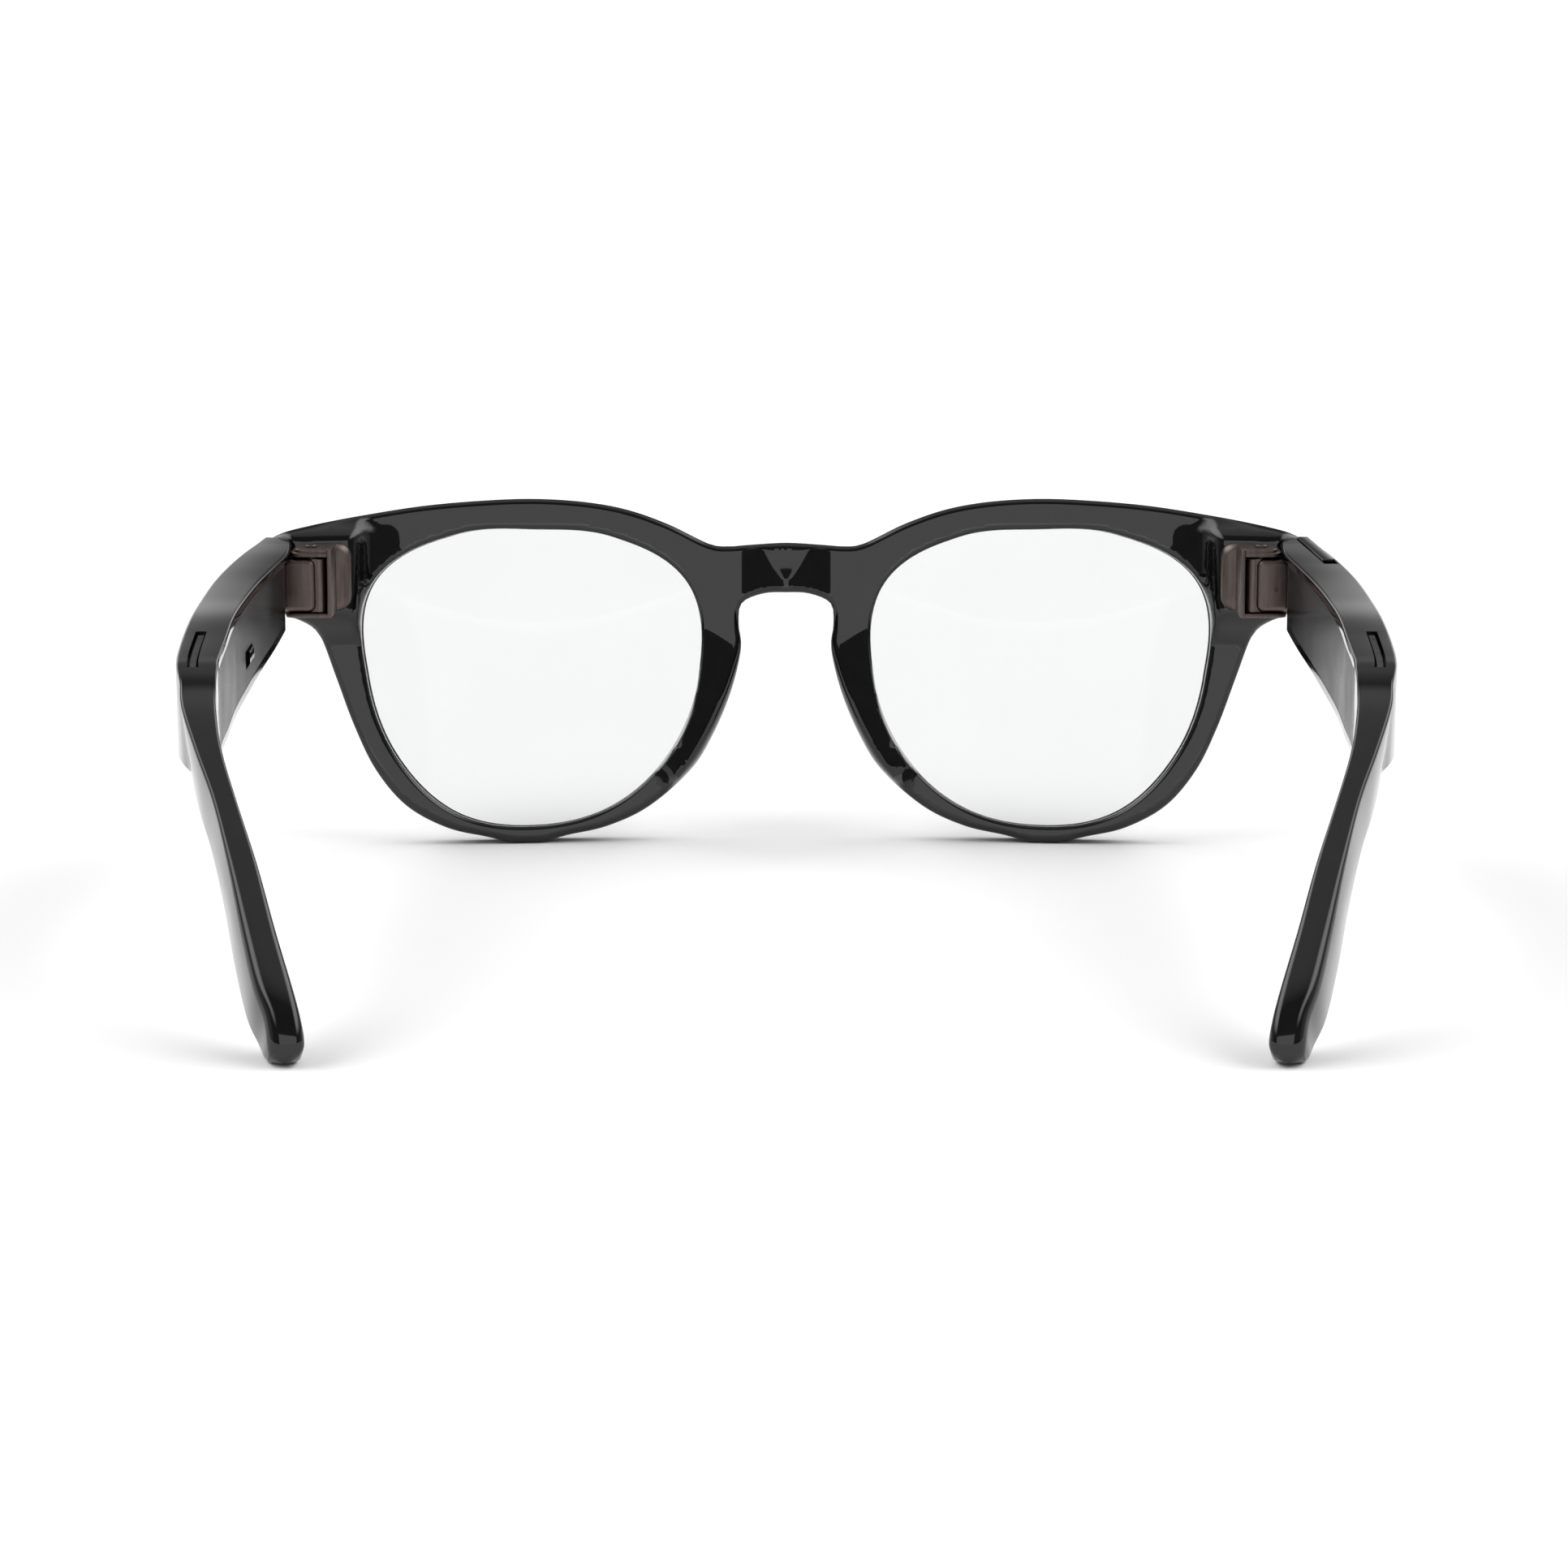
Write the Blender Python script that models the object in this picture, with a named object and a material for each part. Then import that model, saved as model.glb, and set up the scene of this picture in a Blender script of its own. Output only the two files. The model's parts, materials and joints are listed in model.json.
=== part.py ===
"""Smart glasses: a glossy front with two clear lenses and two electronics temples on pinned hinges.

World frame: +X is the wearer's right, +Y is forward, +Z is up. The glasses stand open on the
bottoms of the rims and on the temple tips, at z = 0, and the origin is under the middle of them.
All driving dimensions are in millimetres and degrees.
"""
import math

import bmesh
import bpy
from mathutils import Vector
from mathutils.geometry import delaunay_2d_cdt

MM = 0.001
GAP = 0.3                      # running gap between neighbouring pieces

# The front as a whole
ORIGIN_Y = 63.63               # rear face of the rim bottoms, ahead of the origin
TILT = math.tan(math.radians(6.5))   # forward lean of the front for each mm of height
WRAP_LEAD = 1.7                # the bridge's lead over the lens centres
WRAP = 0.00125                 # fall of the wrapped front per square mm of x
FRONT_FACE = 4.6               # front face ahead of the rear face
SPLIT = 1.6                    # the plane where the front and rear shells meet
EDGE = 0.55                    # edge rounding of the shells
OUTLINE_STEP = 4.0
LIFT = TILT * SPLIT            # raises the leaning front so that the rims stand on a small flat

# Lens opening: radius every 30 degrees, from the nose side upwards and round
LENS_X = 36.15
LENS_Z = 24.0
OPENING = (23.55, 25.5, 22.6, 20.8, 23.25, 26.7, 23.9, 22.85, 22.7, 21.7, 21.95, 22.4)
LENS_POINTS = 44
GROOVE = 1.1                   # lens groove depth in the rims
LENS_LIP = 3.4                 # rear side of the front shell's lens lip
LENS_CROWN = 1.6               # how far the lens centre stands ahead of its edge

# Half outline of the front, from the bridge's top middle, over the brow, round the end piece,
# under the rim and up the nose side to the bridge's underside
HALF_OUTLINE = (
    (0.0, 42.7), (5.4, 42.4), (8.4, 42.2), (11.2, 42.6), (17.0, 45.4), (22.9, 47.5), (29.0, 48.65),
    (36.0, 49.15), (43.3, 49.0), (52.0, 48.35), (60.8, 47.1), (68.0, 45.8), (72.4, 44.6), (74.6, 42.8),
    (74.9, 39.0), (74.0, 35.2), (71.2, 33.3), (68.4, 32.0), (66.6, 30.0), (64.4, 24.0), (61.9, 17.1),
    (58.9, 10.8), (54.6, 5.6), (48.9, 2.35), (43.3, 0.95), (39.0, 0.0), (35.4, 0.0), (31.6, 0.95),
    (25.8, 2.2), (19.9, 4.9), (13.9, 10.0), (10.75, 14.8), (8.0, 21.2), (6.5, 27.5), (6.8, 31.0),
    (6.4, 34.0), (3.4, 35.4), (0.0, 35.6),
)

# End piece housing behind the camera and the light, and the nose pads
HOUSING_DEPTH = 3.0
PAD_DEPTH = 3.6
PAD_FLARE = 1.2                # how far the pads' bearing faces splay open to the rear
POCKET_X = 68.0
POCKET_Z = 39.2
POCKET_R = 3.6

# Hinges
HINGE_X = 66.8
HINGE_Y = -8.6                 # behind the rear face of the rim bottoms
KNUCKLE_R = 2.2
PIN_R = 0.7
LEAF_Z = (37.0, 42.7)
EAR_Z = ((35.3, 36.7), (43.0, 44.4))

# Temple sections, front to tip: top edge (depth, z), bottom edge (depth, z), the top edge's outer x
# and inner x, and how much further out the bottom edge lies
ARM_SECTIONS = (
    (6.0, 43.9, 6.0, 34.5, 74.8, 69.8, 0.0),
    (14.0, 43.5, 14.0, 33.7, 75.8, 69.5, 0.0),
    (24.0, 43.2, 24.0, 31.8, 76.7, 70.2, 0.0),
    (36.0, 42.8, 36.0, 30.3, 77.2, 70.95, 0.0),
    (50.0, 42.4, 50.0, 29.2, 77.1, 71.2, 0.0),
    (64.0, 42.0, 64.0, 28.7, 76.7, 71.0, 0.0),
    (78.0, 41.3, 78.0, 28.4, 76.0, 70.3, 0.0),
    (90.0, 40.7, 90.0, 28.2, 75.1, 69.7, 0.0),
    (97.0, 40.3, 96.0, 28.0, 74.2, 69.1, -0.4),
    (102.8, 39.5, 99.6, 27.3, 73.1, 68.6, -0.9),
    (107.5, 37.2, 102.6, 25.8, 72.1, 67.8, -1.0),
    (112.5, 33.0, 106.2, 23.2, 70.0, 66.5, -0.2),
    (118.0, 27.6, 111.0, 19.8, 66.7, 64.2, 1.4),
    (124.3, 21.4, 117.4, 14.2, 64.1, 61.3, 1.8),
    (130.2, 15.0, 123.6, 8.4, 62.1, 58.7, 1.8),
    (134.8, 9.7, 128.4, 3.3, 60.4, 56.5, 1.8),
    (137.1, 6.3, 131.4, 0.8, 59.6, 55.3, 1.5),
    (138.2, 3.6, 133.6, 0.0, 59.1, 54.8, 1.2),
    (138.36, 2.2, 135.2, 0.0, 58.9, 55.3, 0.8),
)
ARM_START = (0.0, 44.3, 0.0, 34.7, 74.2, 70.3, 0.0)   # its depth follows the rear of the end piece
TIP = (137.9, 0.9, 136.5, 0.3, 58.0, 56.6, 0.3)
ARM_ROUNDING = 1.0
CAVITY = (17.5, 98.0)          # electronics bay, depth range
WALL = 1.2

BLACK = (0.006, 0.006, 0.007, 1.0)
BRONZE = (0.10, 0.075, 0.065, 1.0)


# ---------------------------------------------------------------- curves and surfaces
def smoothstep(value, low, high):
    """0 below low, 1 above high and a smooth ramp between."""
    t = min(1.0, max(0.0, (value - low) / (high - low)))
    return t * t * (3.0 - 2.0 * t)


def ramp(value, low, high):
    """0 below low, 1 above high and a straight ramp between."""
    return min(1.0, max(0.0, (value - low) / (high - low)))


def blend_four(a, b, c, d, t):
    """Catmull-Rom value between b and c."""
    return 0.5 * (2 * b + (c - a) * t + (2 * a - 5 * b + 4 * c - d) * t * t
                  + (3 * b - a - 3 * c + d) * t ** 3)


def closed_curve(points, step):
    """Points about a step apart on the smooth closed curve through the given points."""
    count = len(points)
    out = []
    for i in range(count):
        four = [points[(i + k) % count] for k in (-1, 0, 1, 2)]
        length = math.dist(four[1], four[2])
        pieces = max(1, round(length / step))
        for piece in range(pieces):
            t = piece / pieces
            out.append(tuple(blend_four(*(p[axis] for p in four), t) for axis in (0, 1)))
    return out


def offset(loop, distance):
    """The counter-clockwise loop moved outwards by the distance, a number or a function of (x, z)."""
    count = len(loop)
    shift = distance if callable(distance) else (lambda x, z: distance)
    out = []
    for i, (x, z) in enumerate(loop):
        before, after = loop[i - 1], loop[(i + 1) % count]
        dx, dz = after[0] - before[0], after[1] - before[1]
        share = shift(x, z) / math.hypot(dx, dz)
        out.append((x + share * dz, z - share * dx))
    return out


def circle(cx, cz, radius, count=24):
    angles = [2 * math.pi * i / count for i in range(count)]
    return [(cx + radius * math.cos(a), cz + radius * math.sin(a)) for a in angles]


def rounded_rectangle(cx, cz, width, height, radius, corner_points=4):
    """Counter-clockwise rounded rectangle about its centre."""
    loop = []
    for quarter, (sx, sz) in enumerate(((1, 1), (-1, 1), (-1, -1), (1, -1))):
        mx = cx + sx * (width / 2 - radius)
        mz = cz + sz * (height / 2 - radius)
        for k in range(corner_points):
            a = math.pi / 2 * (quarter + k / (corner_points - 1))
            loop.append((mx + radius * math.cos(a), mz + radius * math.sin(a)))
    return loop


def opening_radius(angle):
    """Lens opening radius at an angle in degrees from the nose side."""
    place = (angle % 360.0) / 30.0
    i = int(place)
    four = [OPENING[(i + k) % 12] for k in (-1, 0, 1, 2)]
    return blend_four(*four, place - i)


def opening_loop(side, grow):
    """Counter-clockwise lens opening on the given side, made larger by grow."""
    loop = []
    for i in range(LENS_POINTS):
        angle = 360.0 * i / LENS_POINTS
        r = opening_radius(angle)
        a = math.radians(angle)
        loop.append((side * (LENS_X - r * math.cos(a)), LENS_Z + r * math.sin(a)))
    if side > 0:
        loop.reverse()
    return offset(loop, grow)


def front_outline():
    """Counter-clockwise outline of the whole front."""
    half = list(HALF_OUTLINE)
    mirrored = [(-x, z) for x, z in reversed(half[1:-1])]
    loop = closed_curve(half + mirrored, OUTLINE_STEP)
    loop = [(x, max(0.0, z)) for x, z in loop]
    loop.reverse()
    return loop


def housing(x, z):
    """How far the end piece's housing stands behind the rims' rear face."""
    across = smoothstep(abs(x), 60.4, 62.9) * (1.0 - 0.8 * smoothstep(abs(x), 69.5, 74.5))
    return HOUSING_DEPTH * across * smoothstep(z, 30.0, 33.5) * (1.0 - 0.7 * smoothstep(z, 44.0, 46.5))


def pad_share(x, z):
    """1 along the middle of the nose pads, 0 away from them."""
    angle = math.degrees(math.atan2(z - LENS_Z, LENS_X - abs(x)))
    return ramp(angle, -40.0, -26.0) * (1.0 - ramp(angle, 5.5, 16.0))


def nose_pad(x, z):
    """How far the moulded nose pad stands behind the rims' rear face."""
    toward = LENS_X - abs(x)
    up = z - LENS_Z
    angle = math.degrees(math.atan2(up, toward))
    reach = (math.hypot(toward, up) - opening_radius(angle) - 0.4) / 3.0
    return PAD_DEPTH * min(1.0, max(0.0, reach)) * pad_share(x, z)


def rear_depth(x, z):
    return -housing(x, z) - nose_pad(x, z)


def rear_shoulder(x, z):
    """Depth where the rear shell's outer wall turns in towards its rear face."""
    return EDGE - housing(x, z)


def front_place(x, z, depth):
    """World point on the leaning, wrapped front, at a depth square to the rims' rear face."""
    y = ORIGIN_Y + TILT * z + WRAP_LEAD - WRAP * x * x + depth
    return Vector((x, y, max(0.0, z + LIFT - TILT * depth))) * MM


def flat_place(x, y, z):
    """World point of a flat layer at height z, measured from the rims' rear face."""
    return Vector((x, ORIGIN_Y + y, z)) * MM


# ---------------------------------------------------------------- meshes
def finish(name, bm, material, location=None, parent=None):
    """Make one object of the mesh, faces out, with its own material."""
    bmesh.ops.recalc_face_normals(bm, faces=bm.faces)
    mesh = bpy.data.meshes.new(name)
    if location is not None:
        bmesh.ops.translate(bm, verts=bm.verts, vec=-location)
    bm.to_mesh(mesh)
    bm.free()
    mesh.shade_smooth()
    mesh.set_sharp_from_angle(angle=math.radians(35.0))
    obj = bpy.data.objects.new(name, mesh)
    bpy.context.scene.collection.objects.link(obj)
    if parent is not None:
        obj.parent = parent
        obj.location = (location or Vector()) - parent.location
    elif location is not None:
        obj.location = location
    if material is not None:
        obj.data.materials.append(material)
    return obj


def principled(name, colour, roughness, metallic=0.0, clear=False):
    material = bpy.data.materials.new(name)
    material.use_nodes = True
    shader = material.node_tree.nodes["Principled BSDF"]
    shader.inputs["Base Color"].default_value = colour
    shader.inputs["Roughness"].default_value = roughness
    shader.inputs["Metallic"].default_value = metallic
    if clear:
        shader.inputs["Transmission Weight"].default_value = 1.0
    return material


def wall(bm, rows):
    """Quads between successive closed rows of vertices."""
    for upper, lower in zip(rows, rows[1:]):
        count = len(upper)
        for i in range(count):
            j = (i + 1) % count
            bm.faces.new((upper[i], upper[j], lower[j], lower[i]))


def inside(point, loop):
    x, z = point
    hit = False
    for i, (bx, bz) in enumerate(loop):
        ax, az = loop[i - 1]
        if (az > z) != (bz > z) and x < ax + (z - az) * (bx - ax) / (bz - az):
            hit = not hit
    return hit


def clearance(point, loop):
    """Distance from the point to the loop's nearest edge."""
    p = Vector(point)
    best = 1e9
    for i, end in enumerate(loop):
        a, b = Vector(loop[i - 1]), Vector(end)
        t = min(1.0, max(0.0, (p - a).dot(b - a) / max((b - a).length_squared, 1e-12)))
        best = min(best, (a + (b - a) * t - p).length)
    return best


def fill_points(outer, holes, step):
    """Grid points inside the outer loop and clear of every edge."""
    points = []
    for ix in range(-int(80 / step), int(80 / step) + 1):
        for iz in range(0, int(52 / step) + 1):
            point = (ix * step, iz * step)
            if not inside(point, outer) or any(inside(point, hole) for hole in holes):
                continue
            if all(clearance(point, loop) > 0.45 * step for loop in [outer] + holes):
                points.append(point)
    return points


def cap(bm, rows, loops, points, depth, place):
    """Triangles across the outer row, round the hole rows, through the extra points."""
    verts = [vert for row in rows for vert in row]
    flat = [point for loop in loops for point in loop]
    edges = []
    start = 0
    for loop in loops:
        count = len(loop)
        edges += [(start + i, start + (i + 1) % count) for i in range(count)]
        start += count
    for x, z in points:
        verts.append(bm.verts.new(place(x, z, depth(x, z))))
        flat.append((x, z))
    result = delaunay_2d_cdt([Vector(p) for p in flat], edges, [], 1, 1e-6)
    coords, triangles, origins = result[0], result[2], result[3]
    for triangle in triangles:
        centre = sum((coords[i] for i in triangle), Vector((0.0, 0.0))) / 3.0
        if any(inside(centre, hole) for hole in loops[1:]):
            continue
        bm.faces.new([verts[origins[i][0]] for i in triangle])


def layered(boundaries, step, place=front_place):
    """A solid between stacked loops. Each boundary (outer first, then holes) lists its loops from
    the front to the rear as (loop, depth), with depth a number or a function of (x, z)."""
    bm = bmesh.new()
    all_rows = []
    for boundary in boundaries:
        rows = []
        for loop, depth in boundary:
            level = depth if callable(depth) else (lambda x, z, d=depth: d)
            rows.append([bm.verts.new(place(x, z, level(x, z))) for x, z in loop])
        wall(bm, rows)
        all_rows.append(rows)
    for end in (0, -1):
        loops = [boundary[end][0] for boundary in boundaries]
        depth = boundaries[0][end][1]
        level = depth if callable(depth) else (lambda x, z, d=depth: d)
        points = fill_points(loops[0], loops[1:], step) if step else []
        cap(bm, [rows[end] for rows in all_rows], loops, points, level, place)
    return bm


def prism(outer, low, high, holes=(), place=flat_place):
    """A straight prism of an (x, y) outline between two heights, with through holes."""
    return layered([[(loop, low), (loop, high)] for loop in (outer, *holes)], 0, place)


def cutter(name, bm):
    obj = finish(name, bm, None)
    obj.hide_render = True
    obj.display_type = "WIRE"
    return obj


def cut(obj, tool, operation="DIFFERENCE"):
    modifier = obj.modifiers.new(tool.name, "BOOLEAN")
    modifier.operation = operation
    modifier.object = tool


def mirror_x(loop, side):
    """The loop drawn for the right side, moved to the given side and kept counter-clockwise."""
    if side > 0:
        return list(loop)
    return [(-x, z) for x, z in reversed(loop)]


# ---------------------------------------------------------------- the front
def front_shells(black):
    """Front and rear halves of the front, which hold the lenses between them."""
    outline = front_outline()
    front_holes = []
    rear_holes = []
    for side in (-1, 1):
        front_holes.append([(opening_loop(side, EDGE), FRONT_FACE),
                            (opening_loop(side, 0), FRONT_FACE - EDGE),
                            (opening_loop(side, 0), LENS_LIP), (opening_loop(side, GROOVE), LENS_LIP),
                            (opening_loop(side, GROOVE), SPLIT)])
        rear_holes.append([(opening_loop(side, 0), SPLIT - GAP),
                           (opening_loop(side, 0), lambda x, z: rear_depth(x, z) + EDGE),
                           (opening_loop(side, EDGE), rear_depth)])
        pocket = circle(side * POCKET_X, POCKET_Z, POCKET_R)
        front_holes.append([(offset(pocket, 0.3), FRONT_FACE), (pocket, FRONT_FACE - 0.3), (pocket, SPLIT)])
    front_outer = [(offset(outline, -EDGE), FRONT_FACE), (outline, FRONT_FACE - EDGE), (outline, SPLIT)]
    rear_edge = offset(outline, lambda x, z: -EDGE - PAD_FLARE * pad_share(x, z))
    rear_outer = [(outline, SPLIT - GAP), (outline, rear_shoulder), (rear_edge, rear_depth)]
    front = finish("front_shell", layered([front_outer] + front_holes, 4.0), black)
    rear = finish("rear_shell", layered([rear_outer] + rear_holes, 2.2), black)
    for side, word in ((-1, "left"), (1, "right")):
        pocket = circle(side * POCKET_X, POCKET_Z, POCKET_R)
        cut(rear, cutter("pocket_" + word, layered([[(pocket, SPLIT + 1.0), (pocket, -1.3)]], 0)))
    return front


def scaled(loop, middle, share):
    """The loop shrunk towards its middle."""
    mx, mz = middle
    return [(mx + (x - mx) * share, mz + (z - mz) * share) for x, z in loop]


def lens(side, word, glass):
    """A crowned lens whose edge sits in the rim groove."""
    bm = bmesh.new()
    outer = opening_loop(side, GROOVE - GAP)
    middle = (side * LENS_X, LENS_Z)
    sheets = []
    for surface in (LENS_LIP - GAP, SPLIT):
        rows = []
        for share in (1.0, 0.72, 0.38):
            crown = LENS_CROWN * (1.0 - share * share)
            loop = scaled(outer, middle, share)
            rows.append([bm.verts.new(front_place(x, z, surface + crown)) for x, z in loop])
        wall(bm, rows)
        centre = bm.verts.new(front_place(*middle, surface + LENS_CROWN))
        last = rows[-1]
        for i, vert in enumerate(last):
            bm.faces.new((vert, last[(i + 1) % len(last)], centre))
        sheets.append(rows[0])
    wall(bm, sheets)
    return finish("lens_" + word, bm, glass)


def pocket_bezel(name, x, bore_radius, black):
    """Ring that stands a little proud of the front round a window."""
    rim = circle(x, POCKET_Z, 3.3)
    bore = circle(x, POCKET_Z, bore_radius)
    ring = [(circle(x, POCKET_Z, 3.0), 4.95), (rim, 4.7), (rim, 3.2)]
    finish(name, layered([ring, [(bore, 4.95), (bore, 3.2)]], 0), black)


def camera(black, glass, dark, green):
    """Camera module in the wearer's left end piece: bezel, window, barrel and board."""
    x = -POCKET_X
    pocket_bezel("camera_bezel", x, 2.5, black)
    window = circle(x, POCKET_Z, 2.2)
    finish("camera_window", layered([[(window, 4.6), (window, 3.9)]], 0), glass)
    barrel = [(circle(x, POCKET_Z, 1.6), 3.6), (circle(x, POCKET_Z, 1.6), 2.9),
              (circle(x, POCKET_Z, 2.6), 2.9), (circle(x, POCKET_Z, 2.6), 0.6)]
    finish("camera_barrel", layered([barrel], 0), dark)
    board = rounded_rectangle(x, POCKET_Z, 4.6, 4.6, 0.5, 3)
    finish("camera_board", layered([[(board, 0.3), (board, -0.6)]], 0), green)


def status_light(black, glass, green):
    """Recording light in the wearer's right end piece: bezel, window and board."""
    x = POCKET_X
    pocket_bezel("light_bezel", x, 2.3, black)
    window = circle(x, POCKET_Z, 2.0)
    finish("light_window", layered([[(window, 4.6), (window, 3.6)]], 0), glass)
    board = rounded_rectangle(x, POCKET_Z, 4.6, 4.6, 0.5, 3)
    package = rounded_rectangle(x, POCKET_Z, 1.6, 1.6, 0.2, 3)
    finish("light_board", layered([[(package, 3.0), (package, 2.3), (board, 2.3), (board, 1.4)]], 0), green)


def brow_strip(depth_in, depth_out):
    """Closed strip that follows the brow between two distances in from the outline."""
    outline = front_outline()
    near = offset(outline, -depth_in)
    far = offset(outline, -depth_out)
    keep = [i for i, (x, z) in enumerate(outline) if abs(x) < 61.0 and z > 41.0]
    keep.sort(key=lambda i: outline[i][0])
    return [far[i] for i in keep] + [near[i] for i in reversed(keep)]


def brow_flex(front, copper):
    """Flexible circuit along the brow, in a channel in the front shell's rear side."""
    channel = brow_strip(0.65, 2.05)
    cut(front, cutter("brow_channel", layered([[(channel, SPLIT + 1.1), (channel, SPLIT - 1.0)]], 0)))
    strip = brow_strip(0.95, 1.75)
    finish("brow_flex", layered([[(strip, SPLIT + 0.7), (strip, SPLIT + 0.2)]], 0), copper)


def bridge_parts(front, gold, silver):
    """Microphone capsule behind the bridge and two charging contacts under it."""
    bay = rounded_rectangle(0.0, 39.2, 4.4, 2.8, 0.4, 3)
    cut(front, cutter("microphone_bay", layered([[(bay, SPLIT + 1.6), (bay, SPLIT - 1.0)]], 0)))
    capsule = rounded_rectangle(0.0, 39.2, 3.6, 2.0, 0.3, 3)
    finish("bridge_microphone", layered([[(capsule, SPLIT + 1.2), (capsule, SPLIT + 0.1)]], 0), silver)
    depth = TILT * 37.0 + WRAP_LEAD + 3.1
    for side, word in ((-1, "left"), (1, "right")):
        hole = circle(side * 1.9, depth, 1.05, 16)
        cut(front, cutter("contact_hole_" + word, prism(hole, 34.5, 37.4)))
        finish("charge_contact_" + word, prism(circle(side * 1.9, depth, 0.75, 16), 35.6, 37.1), gold)


def hinge_front(side, word, bronze, steel):
    """Hinge plate with its two ears on the end piece, and the pin through them."""
    plate = mirror_x(rounded_rectangle(65.45, 38.55, 7.3, 9.6, 1.3, 4), side)
    level = [(plate, -HOUSING_DEPTH - GAP), (plate, -HOUSING_DEPTH - 1.6)]
    obj = finish("hinge_plate_" + word, layered([level], 0), bronze)
    centre = (side * HINGE_X, HINGE_Y)
    front_edge = HINGE_Y + 5.4
    ear = [(HINGE_X + KNUCKLE_R, front_edge), (HINGE_X - KNUCKLE_R, front_edge)]
    ear += [(HINGE_X + KNUCKLE_R * math.cos(a), HINGE_Y + KNUCKLE_R * math.sin(a))
            for a in (math.pi + math.pi * k / 8 for k in range(9))]
    ear = mirror_x(ear, side)
    hole = circle(*centre, PIN_R + GAP, 16)
    for number, (low, high) in enumerate(EAR_Z):
        cut(obj, cutter(f"ear_{word}_{number}", prism(ear, low, high, [hole])), "UNION")
    pin_low, pin_high = EAR_Z[0][0], EAR_Z[1][1]
    bm = bmesh.new()
    rows = []
    for radius, z in ((PIN_R - 0.15, pin_low), (PIN_R, pin_low + 0.2),
                      (PIN_R, pin_high), (PIN_R - 0.2, pin_high + 0.2)):
        rows.append([bm.verts.new(flat_place(x, y, z)) for x, y in circle(*centre, radius, 16)])
    wall(bm, rows)
    bm.faces.new(rows[0])
    bm.faces.new(rows[-1])
    finish("hinge_pin_" + word, bm, steel)


# ---------------------------------------------------------------- the temples
def refine(sections):
    """The sections with one smooth section added between each pair."""
    out = []
    for i in range(len(sections) - 1):
        four = [sections[min(max(i + k, 0), len(sections) - 1)] for k in (-1, 0, 1, 2)]
        out.append(sections[i])
        out.append(tuple(blend_four(*(s[n] for s in four), 0.5) for n in range(7)))
    out.append(sections[-1])
    return out


ARM = refine(ARM_SECTIONS)


def arm_at(depth):
    """Straight-part section at a depth: top z, bottom z, outer x, inner x."""
    for near, far in zip(ARM, ARM[1:]):
        if depth <= far[0]:
            t = (depth - near[0]) / (far[0] - near[0])
            return tuple(near[n] + (far[n] - near[n]) * t for n in (1, 3, 4, 5))
    return ARM[-1][1], ARM[-1][3], ARM[-1][4], ARM[-1][5]


def arm_place(side, x, depth, z):
    return Vector((side * x, ORIGIN_Y - depth, z)) * MM


def arm_sweep(side, start, end, corners):
    """A solid along the straight temple. corners(top, bottom, outer, inner) gives the section's
    (x, z) corners in order."""
    stops = [start] + [s[0] for s in ARM if start + 0.5 < s[0] < end - 0.5] + [end]
    bm = bmesh.new()
    rows = []
    for depth in stops:
        rows.append([bm.verts.new(arm_place(side, x, depth, z)) for x, z in corners(*arm_at(depth))])
    wall(bm, rows)
    bm.faces.new(rows[0])
    bm.faces.new(rows[-1])
    return bm


def box_corners(inner_gap, outer_gap, bottom_gap, top_gap):
    """Section corners set in by these distances from the temple's four sides."""
    def corners(top, bottom, outer, inner):
        return [(inner + inner_gap, bottom + bottom_gap), (outer - outer_gap, bottom + bottom_gap),
                (outer - outer_gap, top - top_gap), (inner + inner_gap, top - top_gap)]
    return corners


def slot_corners(share, half_width, low, high):
    """Section corners of a slot along the top face: place across, half width, and heights."""
    def corners(top, bottom, outer, inner):
        middle = inner + (outer - inner) * share
        return [(middle - half_width, top + low), (middle + half_width, top + low),
                (middle + half_width, top + high), (middle - half_width, top + high)]
    return corners


def face_corners(share, half_height, low, high):
    """Section corners of a bar on the inner face: share of the height, half height, and x range."""
    def corners(top, bottom, outer, inner):
        middle = bottom + (top - bottom) * share
        return [(inner + low, middle - half_height), (inner + high, middle - half_height),
                (inner + high, middle + half_height), (inner + low, middle + half_height)]
    return corners


def arm_ring(bm, side, section, rounding, start=False):
    """One rounded rectangular section ring of the temple."""
    top_depth, top_z, bottom_depth, bottom_z, outer, inner, lean = section
    height = math.hypot(top_depth - bottom_depth, top_z - bottom_z)
    flat = rounded_rectangle(0.0, 0.0, outer - inner, height, rounding, 3)
    ring = []
    for across, up in flat:
        share = up / height + 0.5
        low_inner = inner + max(0.0, lean) * (1.0 - share)
        low_outer = outer + lean * (1.0 - share)
        x = low_inner + (low_outer - low_inner) * (across / (outer - inner) + 0.5)
        z = max(0.0, bottom_z + (top_z - bottom_z) * share)
        depth = bottom_depth + (top_depth - bottom_depth) * share
        if start:
            depth = GAP + 0.2 - (TILT * z + WRAP_LEAD - WRAP * x * x + rear_depth(x, z))
        ring.append(bm.verts.new(arm_place(side, x, depth, z)))
    return ring


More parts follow.
